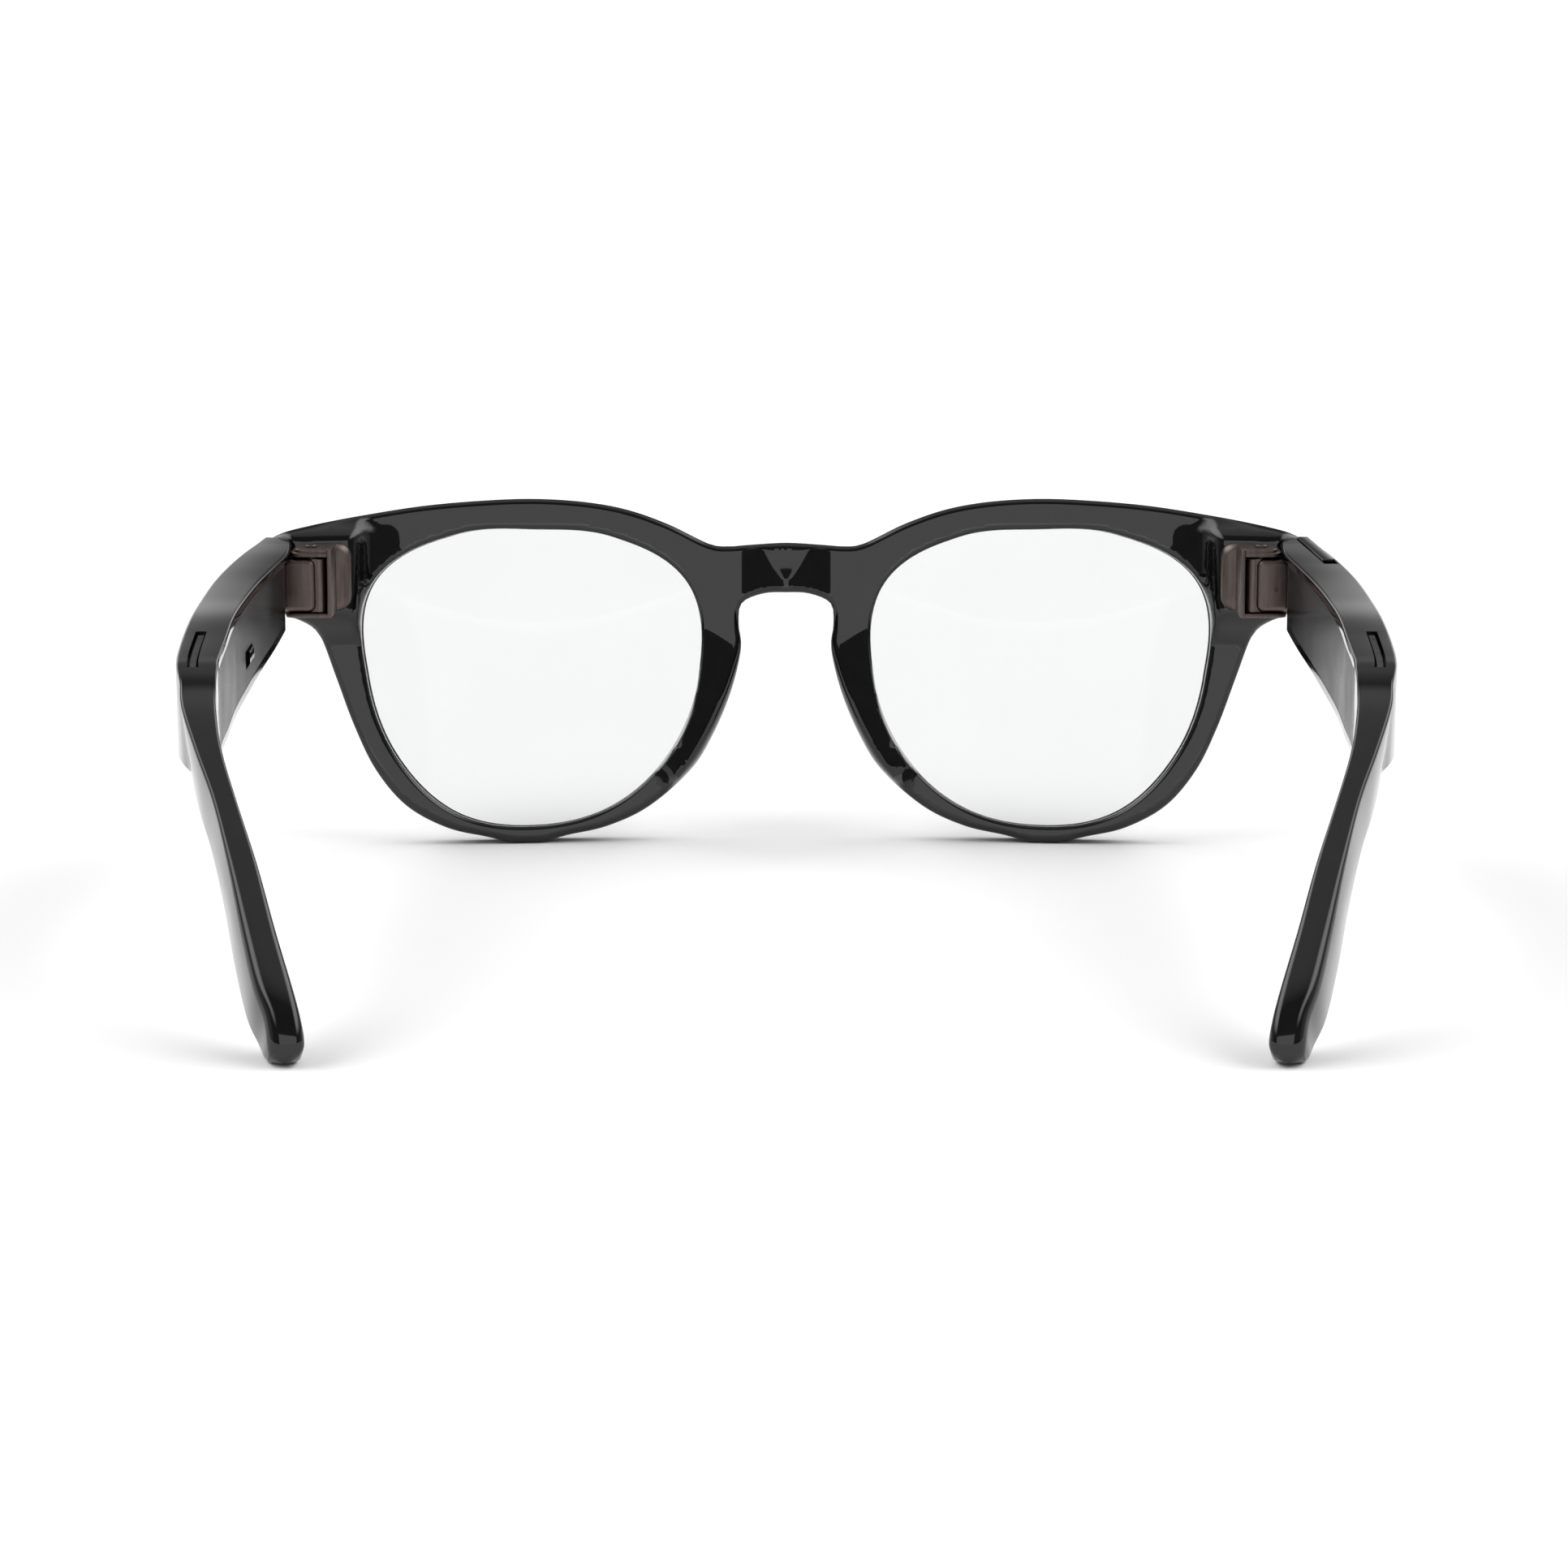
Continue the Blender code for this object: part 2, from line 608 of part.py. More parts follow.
def temple_shell(side, word, black, pivot):
    """Outer temple moulding, from the hinge to the tip, hollowed from its inner face."""
    bm = bmesh.new()
    rows = [arm_ring(bm, side, ARM_START, ARM_ROUNDING, start=True)]
    for section in ARM:
        rows.append(arm_ring(bm, side, section, ARM_ROUNDING))
    rows.append(arm_ring(bm, side, TIP, 0.5))
    wall(bm, rows)
    bm.faces.new(rows[0])
    bm.faces.new(rows[-1])
    obj = finish("temple_shell_" + word, bm, black, pivot.location, pivot)
    bay = arm_sweep(side, *CAVITY, box_corners(-1.0, WALL, WALL + 0.2, WALL + 0.1))
    cut(obj, cutter("bay_" + word, bay))
    recess = [(68.0, HINGE_Y + 4.9), (71.9, HINGE_Y + 4.9), (71.9, HINGE_Y - 7.6), (68.0, HINGE_Y - 7.6)]
    recess.reverse()
    cut(obj, cutter("recess_" + word, prism(mirror_x(recess, side), LEAF_Z[0] - GAP, LEAF_Z[1] + GAP)))
    slot = arm_sweep(side, 74.5, 97.0, slot_corners(0.6, 0.7, -1.8, 1.0))
    cut(obj, cutter("slot_" + word, slot))
    return obj


def cover_corners(top, bottom, outer, inner):
    """Section of the cover that closes the bay's mouth."""
    low = bottom + WALL + 0.5
    high = top - WALL - 0.4
    return [(inner + 0.05, low), (inner + 1.15, low), (inner + 1.15, high), (inner + 0.05, high)]


def temple_cover(side, word, black, pivot):
    bm = arm_sweep(side, CAVITY[0] + GAP, CAVITY[1] - GAP, cover_corners)
    return finish("temple_cover_" + word, bm, black, pivot.location, pivot)


def hinge_leaf(side, word, bronze, pivot):
    """Temple half of the hinge: knuckle, bridge and the leaf let into the temple."""
    arc = [(HINGE_X + KNUCKLE_R * math.cos(a), HINGE_Y + KNUCKLE_R * math.sin(a))
           for a in (math.radians(90 + 180 * k / 10) for k in range(11))]
    outline = [(71.6, HINGE_Y + 2.2)] + arc
    outline += [(69.3, HINGE_Y - 2.2), (69.9, HINGE_Y - 3.2), (69.9, HINGE_Y - 7.2), (71.6, HINGE_Y - 7.2)]
    hole = circle(side * HINGE_X, HINGE_Y, PIN_R + GAP, 16)
    bm = prism(mirror_x(outline, side), *LEAF_Z, [hole])
    return finish("hinge_leaf_" + word, bm, bronze, pivot.location, pivot)


def arm_part(name, side, span, corners, material, pivot):
    return finish(name, arm_sweep(side, *span, corners), material, pivot.location, pivot)


def speaker_parts(side, word, silver, mesh_grey, pivot):
    """Open-ear speaker in the rear of the bay, its mesh in the top slot, and a microphone."""
    arm_part("speaker_" + word, side, (75.0, 95.0), box_corners(1.5, 1.6, 2.0, 2.2), silver, pivot)
    strip = slot_corners(0.6, 0.4, -1.2, -0.4)
    arm_part("speaker_mesh_" + word, side, (74.9, 96.6), strip, mesh_grey, pivot)
    capsule = face_corners(0.22, 0.9, 1.6, 2.7)
    arm_part("temple_microphone_" + word, side, (19.0, 22.0), capsule, silver, pivot)


def left_temple(black, bronze, silver, mesh_grey, green, pivot):
    """Wearer's left temple: battery, speaker, microphone, switch board and power slider."""
    temple_shell(-1, "left", black, pivot)
    cover = temple_cover(-1, "left", black, pivot)
    window = arm_sweep(-1, 44.0, 51.0, face_corners(0.38, 1.2, -1.0, 2.2))
    cut(cover, cutter("slider_window", window))
    hinge_leaf(-1, "left", bronze, pivot)
    speaker_parts(-1, "left", silver, mesh_grey, pivot)
    arm_part("battery_cell", -1, (54.0, 71.5), box_corners(1.5, 1.6, 2.0, 2.2), silver, pivot)
    arm_part("switch_board", -1, (25.0, 52.5), box_corners(2.6, 1.9, 2.0, 2.2), green, pivot)
    arm_part("power_slider", -1, (44.4, 48.6), face_corners(0.38, 0.85, -0.35, 2.2), black, pivot)


def right_temple(black, bronze, silver, mesh_grey, green, pivot):
    """Wearer's right temple: main board, touch strip, speaker, microphone and capture button."""
    shell = temple_shell(1, "right", black, pivot)
    cut(shell, cutter("button_pocket", arm_sweep(1, 2.6, 22.5, slot_corners(0.76, 1.05, -2.2, 1.0))))
    temple_cover(1, "right", black, pivot)
    hinge_leaf(1, "right", bronze, pivot)
    speaker_parts(1, "right", silver, mesh_grey, pivot)
    arm_part("main_board", 1, (34.0, 71.5), box_corners(2.5, 2.2, 2.0, 2.2), green, pivot)
    arm_part("processor_shield", 1, (40.0, 54.0), face_corners(0.5, 3.2, 1.5, 2.2), silver, pivot)
    arm_part("touch_sensor", 1, (36.0, 70.0), touch_corners, green, pivot)
    arm_part("capture_button", 1, (2.9, 20.4), slot_corners(0.76, 0.75, -1.7, 0.35), black, pivot)
    arm_part("button_switch", 1, (18.6, 22.0), slot_corners(0.58, 0.9, -4.4, -2.5), silver, pivot)


def touch_corners(top, bottom, outer, inner):
    """Thin touch strip just inside the outer wall."""
    low, high = bottom + 2.2, top - 2.4
    return [(outer - 1.9, low), (outer - 1.5, low), (outer - 1.5, high), (outer - 1.9, high)]


def empty_at(name, location):
    obj = bpy.data.objects.new(name, None)
    obj.location = location
    bpy.context.scene.collection.objects.link(obj)
    return obj


def build():
    for obj in list(bpy.data.objects):
        bpy.data.objects.remove(obj, do_unlink=True)
    black = principled("gloss_black", BLACK, 0.12)
    glass = principled("clear_lens", (0.95, 0.97, 0.97, 1.0), 0.02, clear=True)
    bronze = principled("hinge_bronze", BRONZE, 0.32, 1.0)
    steel = principled("pin_steel", (0.35, 0.33, 0.32, 1.0), 0.3, 1.0)
    dark = principled("module_black", (0.01, 0.01, 0.012, 1.0), 0.4)
    green = principled("circuit_board", (0.02, 0.10, 0.05, 1.0), 0.45)
    copper = principled("flex_circuit", (0.45, 0.22, 0.06, 1.0), 0.4)
    gold = principled("contact_gold", (0.85, 0.62, 0.25, 1.0), 0.25, 1.0)
    silver = principled("module_silver", (0.55, 0.56, 0.58, 1.0), 0.35, 1.0)
    mesh_grey = principled("speaker_mesh", (0.015, 0.015, 0.016, 1.0), 0.6)
    front = front_shells(black)
    for side, word in ((-1, "left"), (1, "right")):
        lens(side, word, glass)
        hinge_front(side, word, bronze, steel)
    camera(black, glass, dark, green)
    status_light(black, glass, green)
    brow_flex(front, copper)
    bridge_parts(front, gold, silver)
    left_pivot = empty_at("left_hinge_axis", flat_place(-HINGE_X, HINGE_Y, LEAF_Z[0]))
    right_pivot = empty_at("right_hinge_axis", flat_place(HINGE_X, HINGE_Y, LEAF_Z[0]))
    left_temple(black, bronze, silver, mesh_grey, green, left_pivot)
    right_temple(black, bronze, silver, mesh_grey, green, right_pivot)


build()
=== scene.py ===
"""Looks of the smart glasses: fine shells, lenses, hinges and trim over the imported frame.

Lengths in this script are millimetres and angles degrees, until MM turns them into metres.
Depth on the front counts ahead of the rims' rear face; depth on a temple counts backwards.
"""
import json
import math

import bmesh
import bpy
import numpy as np
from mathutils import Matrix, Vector
from mathutils.geometry import delaunay_2d_cdt


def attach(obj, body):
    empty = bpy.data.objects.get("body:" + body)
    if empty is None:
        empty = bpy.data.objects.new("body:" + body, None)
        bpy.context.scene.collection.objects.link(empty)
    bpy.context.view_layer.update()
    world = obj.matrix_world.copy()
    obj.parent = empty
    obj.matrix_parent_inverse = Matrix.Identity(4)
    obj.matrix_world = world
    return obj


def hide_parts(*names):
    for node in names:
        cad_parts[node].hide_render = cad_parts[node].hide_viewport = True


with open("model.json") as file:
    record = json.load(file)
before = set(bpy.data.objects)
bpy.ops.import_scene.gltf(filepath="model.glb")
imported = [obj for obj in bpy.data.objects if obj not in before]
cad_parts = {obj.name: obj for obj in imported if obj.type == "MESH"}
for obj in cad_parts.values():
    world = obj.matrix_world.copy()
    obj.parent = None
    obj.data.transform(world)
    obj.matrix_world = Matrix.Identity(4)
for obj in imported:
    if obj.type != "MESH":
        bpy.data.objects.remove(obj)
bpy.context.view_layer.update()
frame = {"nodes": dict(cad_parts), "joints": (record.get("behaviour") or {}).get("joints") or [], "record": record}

MM = 0.001
JOINTS = {joint["name"]: joint for joint in frame["joints"]}

# Places taken from the frame
HINGE_X = -JOINTS["left_temple_fold"]["pos_m"][0] / MM
HINGE_BACK = 8.6                       # hinge axis behind the rims' rear face
ORIGIN_Y = JOINTS["left_temple_fold"]["pos_m"][1] / MM + HINGE_BACK

# The front: lean, wrap, thickness and rounding
TILT = math.tan(math.radians(6.5))
WRAP_LEAD = 1.7
WRAP = 0.00125
FRONT_FACE = 4.6
LIFT = TILT * 1.6                      # raises the leaning front so that the rims stand on a small flat
SEAM = 1.45                            # depth where the two shells meet
SEAM_V = 0.05
SEAM_REST = 0.01                       # half the gap left between the shells
ROUND = 0.8
RIM_ROUND_FRONT = 0.6
RIM_ROUND_REAR = 0.5
OUTLINE_STEP = 0.9
FILL_STEP = 0.8
FINE_STEP = 0.4                        # over the bridge and the nose pads, within FINE_X of the middle
FINE_X = 14.5

# Lens openings: radius every 30 degrees, from the nose side upwards and round
LENS_X = 36.15
LENS_Z = 24.0
OPENING = (23.55, 25.5, 22.6, 20.8, 23.25, 26.7, 23.9, 22.85, 22.7, 21.7, 21.95, 22.4)
LENS_POINTS = 180
GROOVE = 1.1
LENS_LIP = 3.4
LENS_CROWN = 1.6
LENS_BEVEL = 0.35
LENS_RINGS = 12

# Half outline of the front, from the bridge's top middle, over the brow, round the end piece,
# under the rim and up the nose side to the bridge's underside
HALF_OUTLINE = (
    (0.0, 42.7), (5.4, 42.4), (8.4, 42.2), (11.2, 42.6), (17.0, 45.4), (22.9, 47.5), (29.0, 48.65),
    (36.0, 49.15), (43.3, 49.0), (52.0, 48.35), (60.8, 47.1), (68.0, 45.8), (72.4, 44.6), (74.6, 42.8),
    (74.9, 39.0), (74.0, 35.2), (71.2, 33.3), (68.4, 32.0), (66.6, 30.0), (64.4, 24.0), (61.9, 17.1),
    (58.9, 10.8), (54.6, 5.6), (48.9, 2.35), (43.3, 0.95), (39.0, 0.0), (35.4, 0.0), (31.6, 0.95),
    (25.8, 2.2), (19.9, 4.9), (13.9, 10.0), (10.75, 14.8), (8.0, 21.2), (6.5, 27.5), (6.8, 31.0),
    (6.4, 34.0), (3.4, 35.4), (0.0, 35.6),
)

# End-piece housings: the x bands over which they swell, rise and fall away, and the z bands
HOUSING_DEPTH = 3.0
SWELL_SHARE = 0.22
SWELL_X = (54.5, 60.0)
RISE_X = (59.2, 61.9)
FALL_X = (69.5, 74.5)
RISE_Z = (29.0, 33.5)
FALL_Z = (44.0, 46.5)

# Nose pads, between two angles round the lens opening
PAD_TOP_ANGLE = 16.0
PAD_END_ANGLE = -40.0
PAD_RING = 24.0                        # radius that turns those angles into lengths
PAD_DEPTH = 1.05
PAD_FLARE = 0.5
PAD_TOP_SLOPE = 0.22
PAD_TOP_SHEAR = 0.68
PAD_END_SLOPE = 2.0
PAD_SIDE_SLOPE = 8.0
PAD_LEAN = 0.04
PAD_TURN = 0.24                        # the bearing face turns towards the nose below PAD_TURN_Z
PAD_TURN_Z = (26.0, 21.0)
PAD_TURN_WIDTH = 28.0

# Bridge: two faces turned to the sides, and a flat between them that widens over BRIDGE_Z
BRIDGE_SLOPE = 0.2
BRIDGE_HALF = 7.0
BRIDGE_FLAT = 3.3
BRIDGE_Z = (37.4, 42.5)

# Round pockets for the camera and the recording light, and what sits in them
POCKET_X = 68.0
POCKET_Z = 39.2
POCKET_R = 3.6
BEZEL_R = 3.45
BEZEL_FRONT = 4.95
BEZEL_BACK = 3.2
WINDOW_FRONT = 4.6

# Hinges: flat layers of the ears with the x they reach to, and rounded rectangles as
# (centre x, centre z or y, width, height, corner radius, points in a corner)
PIN_R = 0.85
PIN_PLAY = 0.05
PIN_TOP = 44.4
LEAF_TOP = 42.7
LEAF_LOW = 35.05
EAR_LAYERS = ((34.35, 34.95), (42.95, 43.6), (43.55, 44.1))
EAR_REACH = (70.4, 69.6, 68.9)
EAR_INNER = 63.8
EAR_REAR = -10.8
EAR_FRONT = -3.9
PLATE = (65.45, 38.55, 7.3, 9.6, 2.0, 8)
PLATE_THICK = 1.6
RIDGE = (64.1, 39.35, 0.66, 9.6, 0.25, 5)
RIDGE_Y = (-10.95, -4.2)
BLOCK_X = 68.45
BLOCK_WIDTH = 4.8
BLOCK_Y = (-10.75, -6.6)
STRAP = (71.35, -12.3, 1.3, 6.6, 0.4, 5)
PEEP = (68.8, 38.6, 0.5, 0.95, 0.24, 5)
RECESS = (70.0, -9.6, 4.1, 15.0, 0.6, 5)

# Temple sections, front to tip: top edge (depth, z), bottom edge (depth, z), the top edge's outer x
# and inner x, and how much further out the bottom edge lies
ARM_START = (0.0, 44.6, 0.0, 34.7, 74.3, 70.3, 0.0)
ARM_SECTIONS = (
    (6.0, 44.35, 6.0, 34.5, 74.85, 69.8, 0.0),
    (14.0, 43.95, 14.0, 33.7, 75.85, 69.5, 0.0),
    (24.0, 43.45, 24.0, 31.8, 76.7, 70.2, 0.0),
    (36.0, 42.9, 36.0, 30.3, 77.2, 70.95, 0.0),
    (50.0, 42.4, 50.0, 29.2, 77.1, 71.2, 0.0),
    (64.0, 42.0, 64.0, 28.7, 76.7, 71.0, 0.0),
    (78.0, 41.3, 78.0, 28.4, 76.0, 70.3, 0.0),
    (90.0, 40.7, 90.0, 28.2, 75.1, 69.7, 0.0),
    (97.0, 40.3, 96.0, 28.0, 74.2, 69.1, -0.4),
    (102.8, 39.5, 99.6, 27.3, 73.1, 68.6, -0.9),
    (107.5, 37.2, 102.6, 25.8, 72.3, 68.1, -0.8),
    (112.5, 33.0, 106.2, 23.2, 70.2, 66.9, 0.1),
    (118.0, 27.6, 111.0, 19.8, 67.4, 64.5, 1.1),
    (124.3, 21.4, 117.4, 14.2, 65.0, 61.5, 1.4),
    (130.2, 15.0, 123.6, 8.4, 62.9, 58.8, 1.7),
    (134.8, 9.7, 128.4, 3.3, 61.1, 56.5, 1.7),
    (137.1, 6.3, 131.4, 0.8, 59.6, 55.3, 1.5),
    (138.2, 3.6, 133.6, 0.0, 59.1, 54.8, 1.2),
    (138.36, 2.2, 135.2, 0.0, 58.9, 55.3, 0.8),
)
TIP = (137.9, 0.9, 136.5, 0.3, 58.0, 56.6, 0.3)
ARM_ROUND = 0.45
TIP_ROUND = 0.9
TIP_ROUND_BAND = (118.0, 138.4)
START_GAP = 0.25                       # between the front's rear face and the temple
START_BEVEL = (0.25, 0.1, 0.15)        # inwards, forwards and backwards
CAVITY = (17.5, 98.0)
WALL = 1.2
BAY_LOW = WALL + 0.2                   # the bay's floor above the temple's bottom edge
BAY_HIGH = WALL + 0.1                  # the bay's roof under its top edge
SEAM_GAP = 0.07

# Openings and moving parts of the temples, as depths and shares of the section
SPEAKER_SLOT = (74.5, 97.0)
SPEAKER_SHARE = 0.6
BUTTON_SLOT = (2.5, 22.5)
BUTTON = (2.65, 20.6)
BUTTON_SHARE = 0.76
SLIDER_SLOT = (44.0, 51.0)
SLIDER = (44.4, 48.6)
SLIDER_SHARE = 0.38
RIBS = 5
RIB_FIRST = 45.0
RIB_PITCH = 0.65
RIB_WIDTH = 0.25

# Studio brightness, as radiance
SKY_DARK = 0.13
ZENITH = 0.65
SIDE_PANEL = 3.4
SIDE_WING = 0.42
SOFTBOX = 1.28

# Camera, in metres from the rims' rear face, looking down by the pitch
CAMERA_LENS = 103.9
CAMERA_BACK = 0.641
CAMERA_HEIGHT = 0.1218
CAMERA_ASIDE = -0.0003
CAMERA_PITCH = 10.0


# ---------------------------------------------------------------- curves
def smoothstep(value, low, high):
    """A smooth rise from 0 at low to 1 at high."""
    t = np.clip((value - low) / (high - low), 0.0, 1.0)
    return t * t * (3.0 - 2.0 * t)


def blend_four(a, b, c, d, t):
    """Catmull-Rom value between b and c."""
    return 0.5 * (2 * b + (c - a) * t + (2 * a - 5 * b + 4 * c - d) * t * t
                  + (3 * b - a - 3 * c + d) * t ** 3)


def closed_curve(points, step):
    """Points about a step apart on the smooth closed curve through the given points."""
    count = len(points)
    out = []
    for i in range(count):
        four = [points[(i + k) % count] for k in (-1, 0, 1, 2)]
        pieces = max(2, round(math.dist(four[1], four[2]) / step))
        for piece in range(pieces):
            t = piece / pieces
            out.append(tuple(blend_four(*(p[axis] for p in four), t) for axis in (0, 1)))
    return out


def offset(loop, distance):
    """The counter-clockwise loop moved outwards by the distance, a number or a function of (x, z)."""
    count = len(loop)
    shift = distance if callable(distance) else (lambda x, z: distance)
    out = []
    for i, (x, z) in enumerate(loop):
        before, after = loop[i - 1], loop[(i + 1) % count]
        dx, dz = after[0] - before[0], after[1] - before[1]
        share = shift(x, z) / math.hypot(dx, dz)
        out.append((x + share * dz, z - share * dx))
    return out


def circle(cx, cz, radius, count=64):
    """Counter-clockwise loop round a centre."""
    angles = [2 * math.pi * i / count for i in range(count)]
    return [(cx + radius * math.cos(a), cz + radius * math.sin(a)) for a in angles]


def rounded_rectangle(cx, cz, width, height, radius, corner_points=6):
    """Counter-clockwise rectangle with round corners."""
    loop = []
    for quarter, (sx, sz) in enumerate(((1, 1), (-1, 1), (-1, -1), (1, -1))):
        mx = cx + sx * (width / 2 - radius)
        mz = cz + sz * (height / 2 - radius)
        for k in range(corner_points):
            a = math.pi / 2 * (quarter + k / (corner_points - 1))
            loop.append((mx + radius * math.cos(a), mz + radius * math.sin(a)))
    return loop


def mirror_x(loop, side):
    """The loop drawn for the right side, moved to the given side and kept counter-clockwise."""
    if side > 0:
        return list(loop)
    return [(-x, z) for x, z in reversed(loop)]


def opening_radius(angle):
    """Radius of the lens opening at an angle from the nose side upwards."""
    count = len(OPENING)
    place = (angle % 360.0) / (360.0 / count)
    i = int(place)
    four = [OPENING[(i + k) % count] for k in (-1, 0, 1, 2)]
    return blend_four(*four, place - i)


def opening_loop(side, grow):
    """Counter-clockwise lens opening on the given side, made larger by grow."""
    loop = []
    for i in range(LENS_POINTS):
        angle = 360.0 * i / LENS_POINTS
        r = opening_radius(angle)
        a = math.radians(angle)
        loop.append((side * (LENS_X - r * math.cos(a)), LENS_Z + r * math.sin(a)))
    if side > 0:
        loop.reverse()
    return offset(loop, grow)


def front_outline():
    """Counter-clockwise outline of the whole front, resting on height 0."""
    half = list(HALF_OUTLINE)
    mirrored = [(-x, z) for x, z in reversed(half[1:-1])]
    loop = closed_curve(half + mirrored, OUTLINE_STEP)
    loop = [(x, max(0.0, z)) for x, z in loop]
    loop.reverse()
    return loop


# ---------------------------------------------------------------- the front's rear surface
def housing(x, z):
    """How far the end piece's housing stands behind the rims' rear face."""
    swell = SWELL_SHARE * smoothstep(abs(x), *SWELL_X)
    rise = swell + (1.0 - SWELL_SHARE) * smoothstep(abs(x), *RISE_X)
    across = rise * (1.0 - 0.8 * smoothstep(abs(x), *FALL_X))
    return HOUSING_DEPTH * across * smoothstep(z, *RISE_Z) * (1.0 - 0.7 * smoothstep(z, *FALL_Z))


def ramp(value, low, high):
    """A straight ramp between 0 at low and 1 at high."""
    return min(1.0, max(0.0, (value - low) / (high - low)))


def bend(u, ease):
    """0 below zero and u above it, with the corner rounded over the ease length."""
    if u < -ease:
        return 0.0
    return u if u > ease else (u + ease) ** 2 / (4 * ease)


def pad_reach(x, z):
    """Angle round the lens opening, and distance from the opening's edge."""
    toward = LENS_X - abs(x)
    up = z - LENS_Z
    angle = math.degrees(math.atan2(up, toward))
    return angle, math.hypot(toward, up) - opening_radius(angle)


def pad_share(x, z):
    """1 along the middle of the nose pads, 0 away from them."""
    angle, reach = pad_reach(x, z)
    top = 1.0 - ramp(angle, 3.4, 16.4 - 3.0 * ramp(reach, 0.0, 4.0))
    return ramp(angle, PAD_END_ANGLE, -27.0) * top


def nose_pad(x, z):
    """How far the moulded nose pad stands behind the rims' rear face: a ramp down from the top,
    a bearing face turned towards the nose, and a short slope at the lower end."""
    angle, reach = pad_reach(x, z)
    from_top = math.radians(PAD_TOP_ANGLE - angle) * PAD_RING
    from_end = math.radians(angle - PAD_END_ANGLE) * PAD_RING
    upper = PAD_TOP_SLOPE * (from_top - PAD_TOP_SHEAR * reach)
    turned = PAD_TURN * ramp(z, *PAD_TURN_Z) * (PAD_TURN_WIDTH - LENS_X + abs(x))
    bearing = PAD_DEPTH + PAD_LEAN * (PAD_TURN_Z[0] - z) + turned
    lower = PAD_END_SLOPE * from_end
    side = PAD_SIDE_SLOPE * (reach + 0.1)
    return max(0.0, min(upper, bearing, lower, side))


def bridge_crown(x, z):
    """Two faces of the bridge's rear turned to the sides, with a flat between that widens upwards."""
    flat = BRIDGE_FLAT * ramp(z, *BRIDGE_Z) ** 0.7
    ease = 0.05 + 0.12 * flat
    slope = bend(abs(x) - flat, ease) - bend(abs(x) - BRIDGE_HALF, 0.8)
    return BRIDGE_SLOPE * (BRIDGE_HALF - flat - slope)


def rear_depth(x, z):
    """Depth of the rear face with the housings, nose pads and bridge on it."""
    return float(-housing(x, z) - nose_pad(x, z) - bridge_crown(x, z))


def rear_shoulder(x, z):
    """Depth where the rear shell's outer wall turns in towards its rear face."""
    return float(ROUND - housing(x, z) - bridge_crown(x, z))


def front_place(x, z, depth):
    """World point of the leaning, wrapped front."""
    y = ORIGIN_Y + TILT * z + WRAP_LEAD - WRAP * x * x + depth
    return Vector((x, y, max(0.0, z + LIFT - TILT * depth))) * MM


def flat_place(x, y, z):
    """World point of a flat layer at height z, with y measured from the rims' rear face."""
    return Vector((x, ORIGIN_Y + y, z)) * MM


# ---------------------------------------------------------------- meshes
def piece(name, bm, body, material, nodes, slot):
    """One finished object of the mesh, riding on its body in place of its nodes."""
    bmesh.ops.recalc_face_normals(bm, faces=bm.faces)
    mesh = bpy.data.meshes.new(name)
    bm.to_mesh(mesh)
    bm.free()
    mesh.materials.append(material)
    mesh.shade_smooth()
    mesh.set_sharp_from_angle(angle=math.radians(32.0))
    obj = bpy.data.objects.new(name, mesh)
    bpy.context.scene.collection.objects.link(obj)
    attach(obj, body)
    if nodes:
        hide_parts(*nodes)
    return obj


def bare_object(name, bm):
    """A temporary object for a Boolean."""
    bmesh.ops.recalc_face_normals(bm, faces=bm.faces)
    mesh = bpy.data.meshes.new(name)
    bm.to_mesh(mesh)
    bm.free()
    obj = bpy.data.objects.new(name, mesh)
    bpy.context.scene.collection.objects.link(obj)
    return obj


def carved(bm, tools, operation="DIFFERENCE"):
    """The mesh after each tool mesh is cut from it, or joined to it."""
    obj = bare_object("carving", bm)
    helpers = []
    for number, tool in enumerate(tools):
        helper = bare_object("tool", tool)
        modifier = obj.modifiers.new(str(number), "BOOLEAN")
        modifier.operation = operation
        modifier.object = helper
        helpers.append(helper)
    evaluated = obj.evaluated_get(bpy.context.evaluated_depsgraph_get())
    out = bmesh.new()
    out.from_mesh(evaluated.to_mesh())
    for used in helpers + [obj]:
        bpy.data.objects.remove(used)
    return out


def wall(bm, rows):
    """Faces between each row of vertices and the next."""
    for upper, lower in zip(rows, rows[1:]):
        count = len(upper)
        for i in range(count):
            j = (i + 1) % count
            bm.faces.new((upper[i], upper[j], lower[j], lower[i]))


def inside(points, loop):
    """Which of the points, an array, lie inside the loop."""
    x, z = points[:, 0:1], points[:, 1:2]
    b = np.array(loop)
    a = np.roll(b, 1, axis=0)
    crosses = (a[:, 1] > z) != (b[:, 1] > z)
    rise = np.where(b[:, 1] == a[:, 1], 1e-9, b[:, 1] - a[:, 1])
    at = a[:, 0] + (z - a[:, 1]) * (b[:, 0] - a[:, 0]) / rise
    return (crosses & (x < at)).sum(axis=1) % 2 == 1


def nearest(points, loop):
    """Distance from each point to the loop's nearest corner."""
    b = np.array(loop)
    return np.sqrt(((points[:, None, :] - b[None, :, :]) ** 2).sum(axis=2)).min(axis=1)


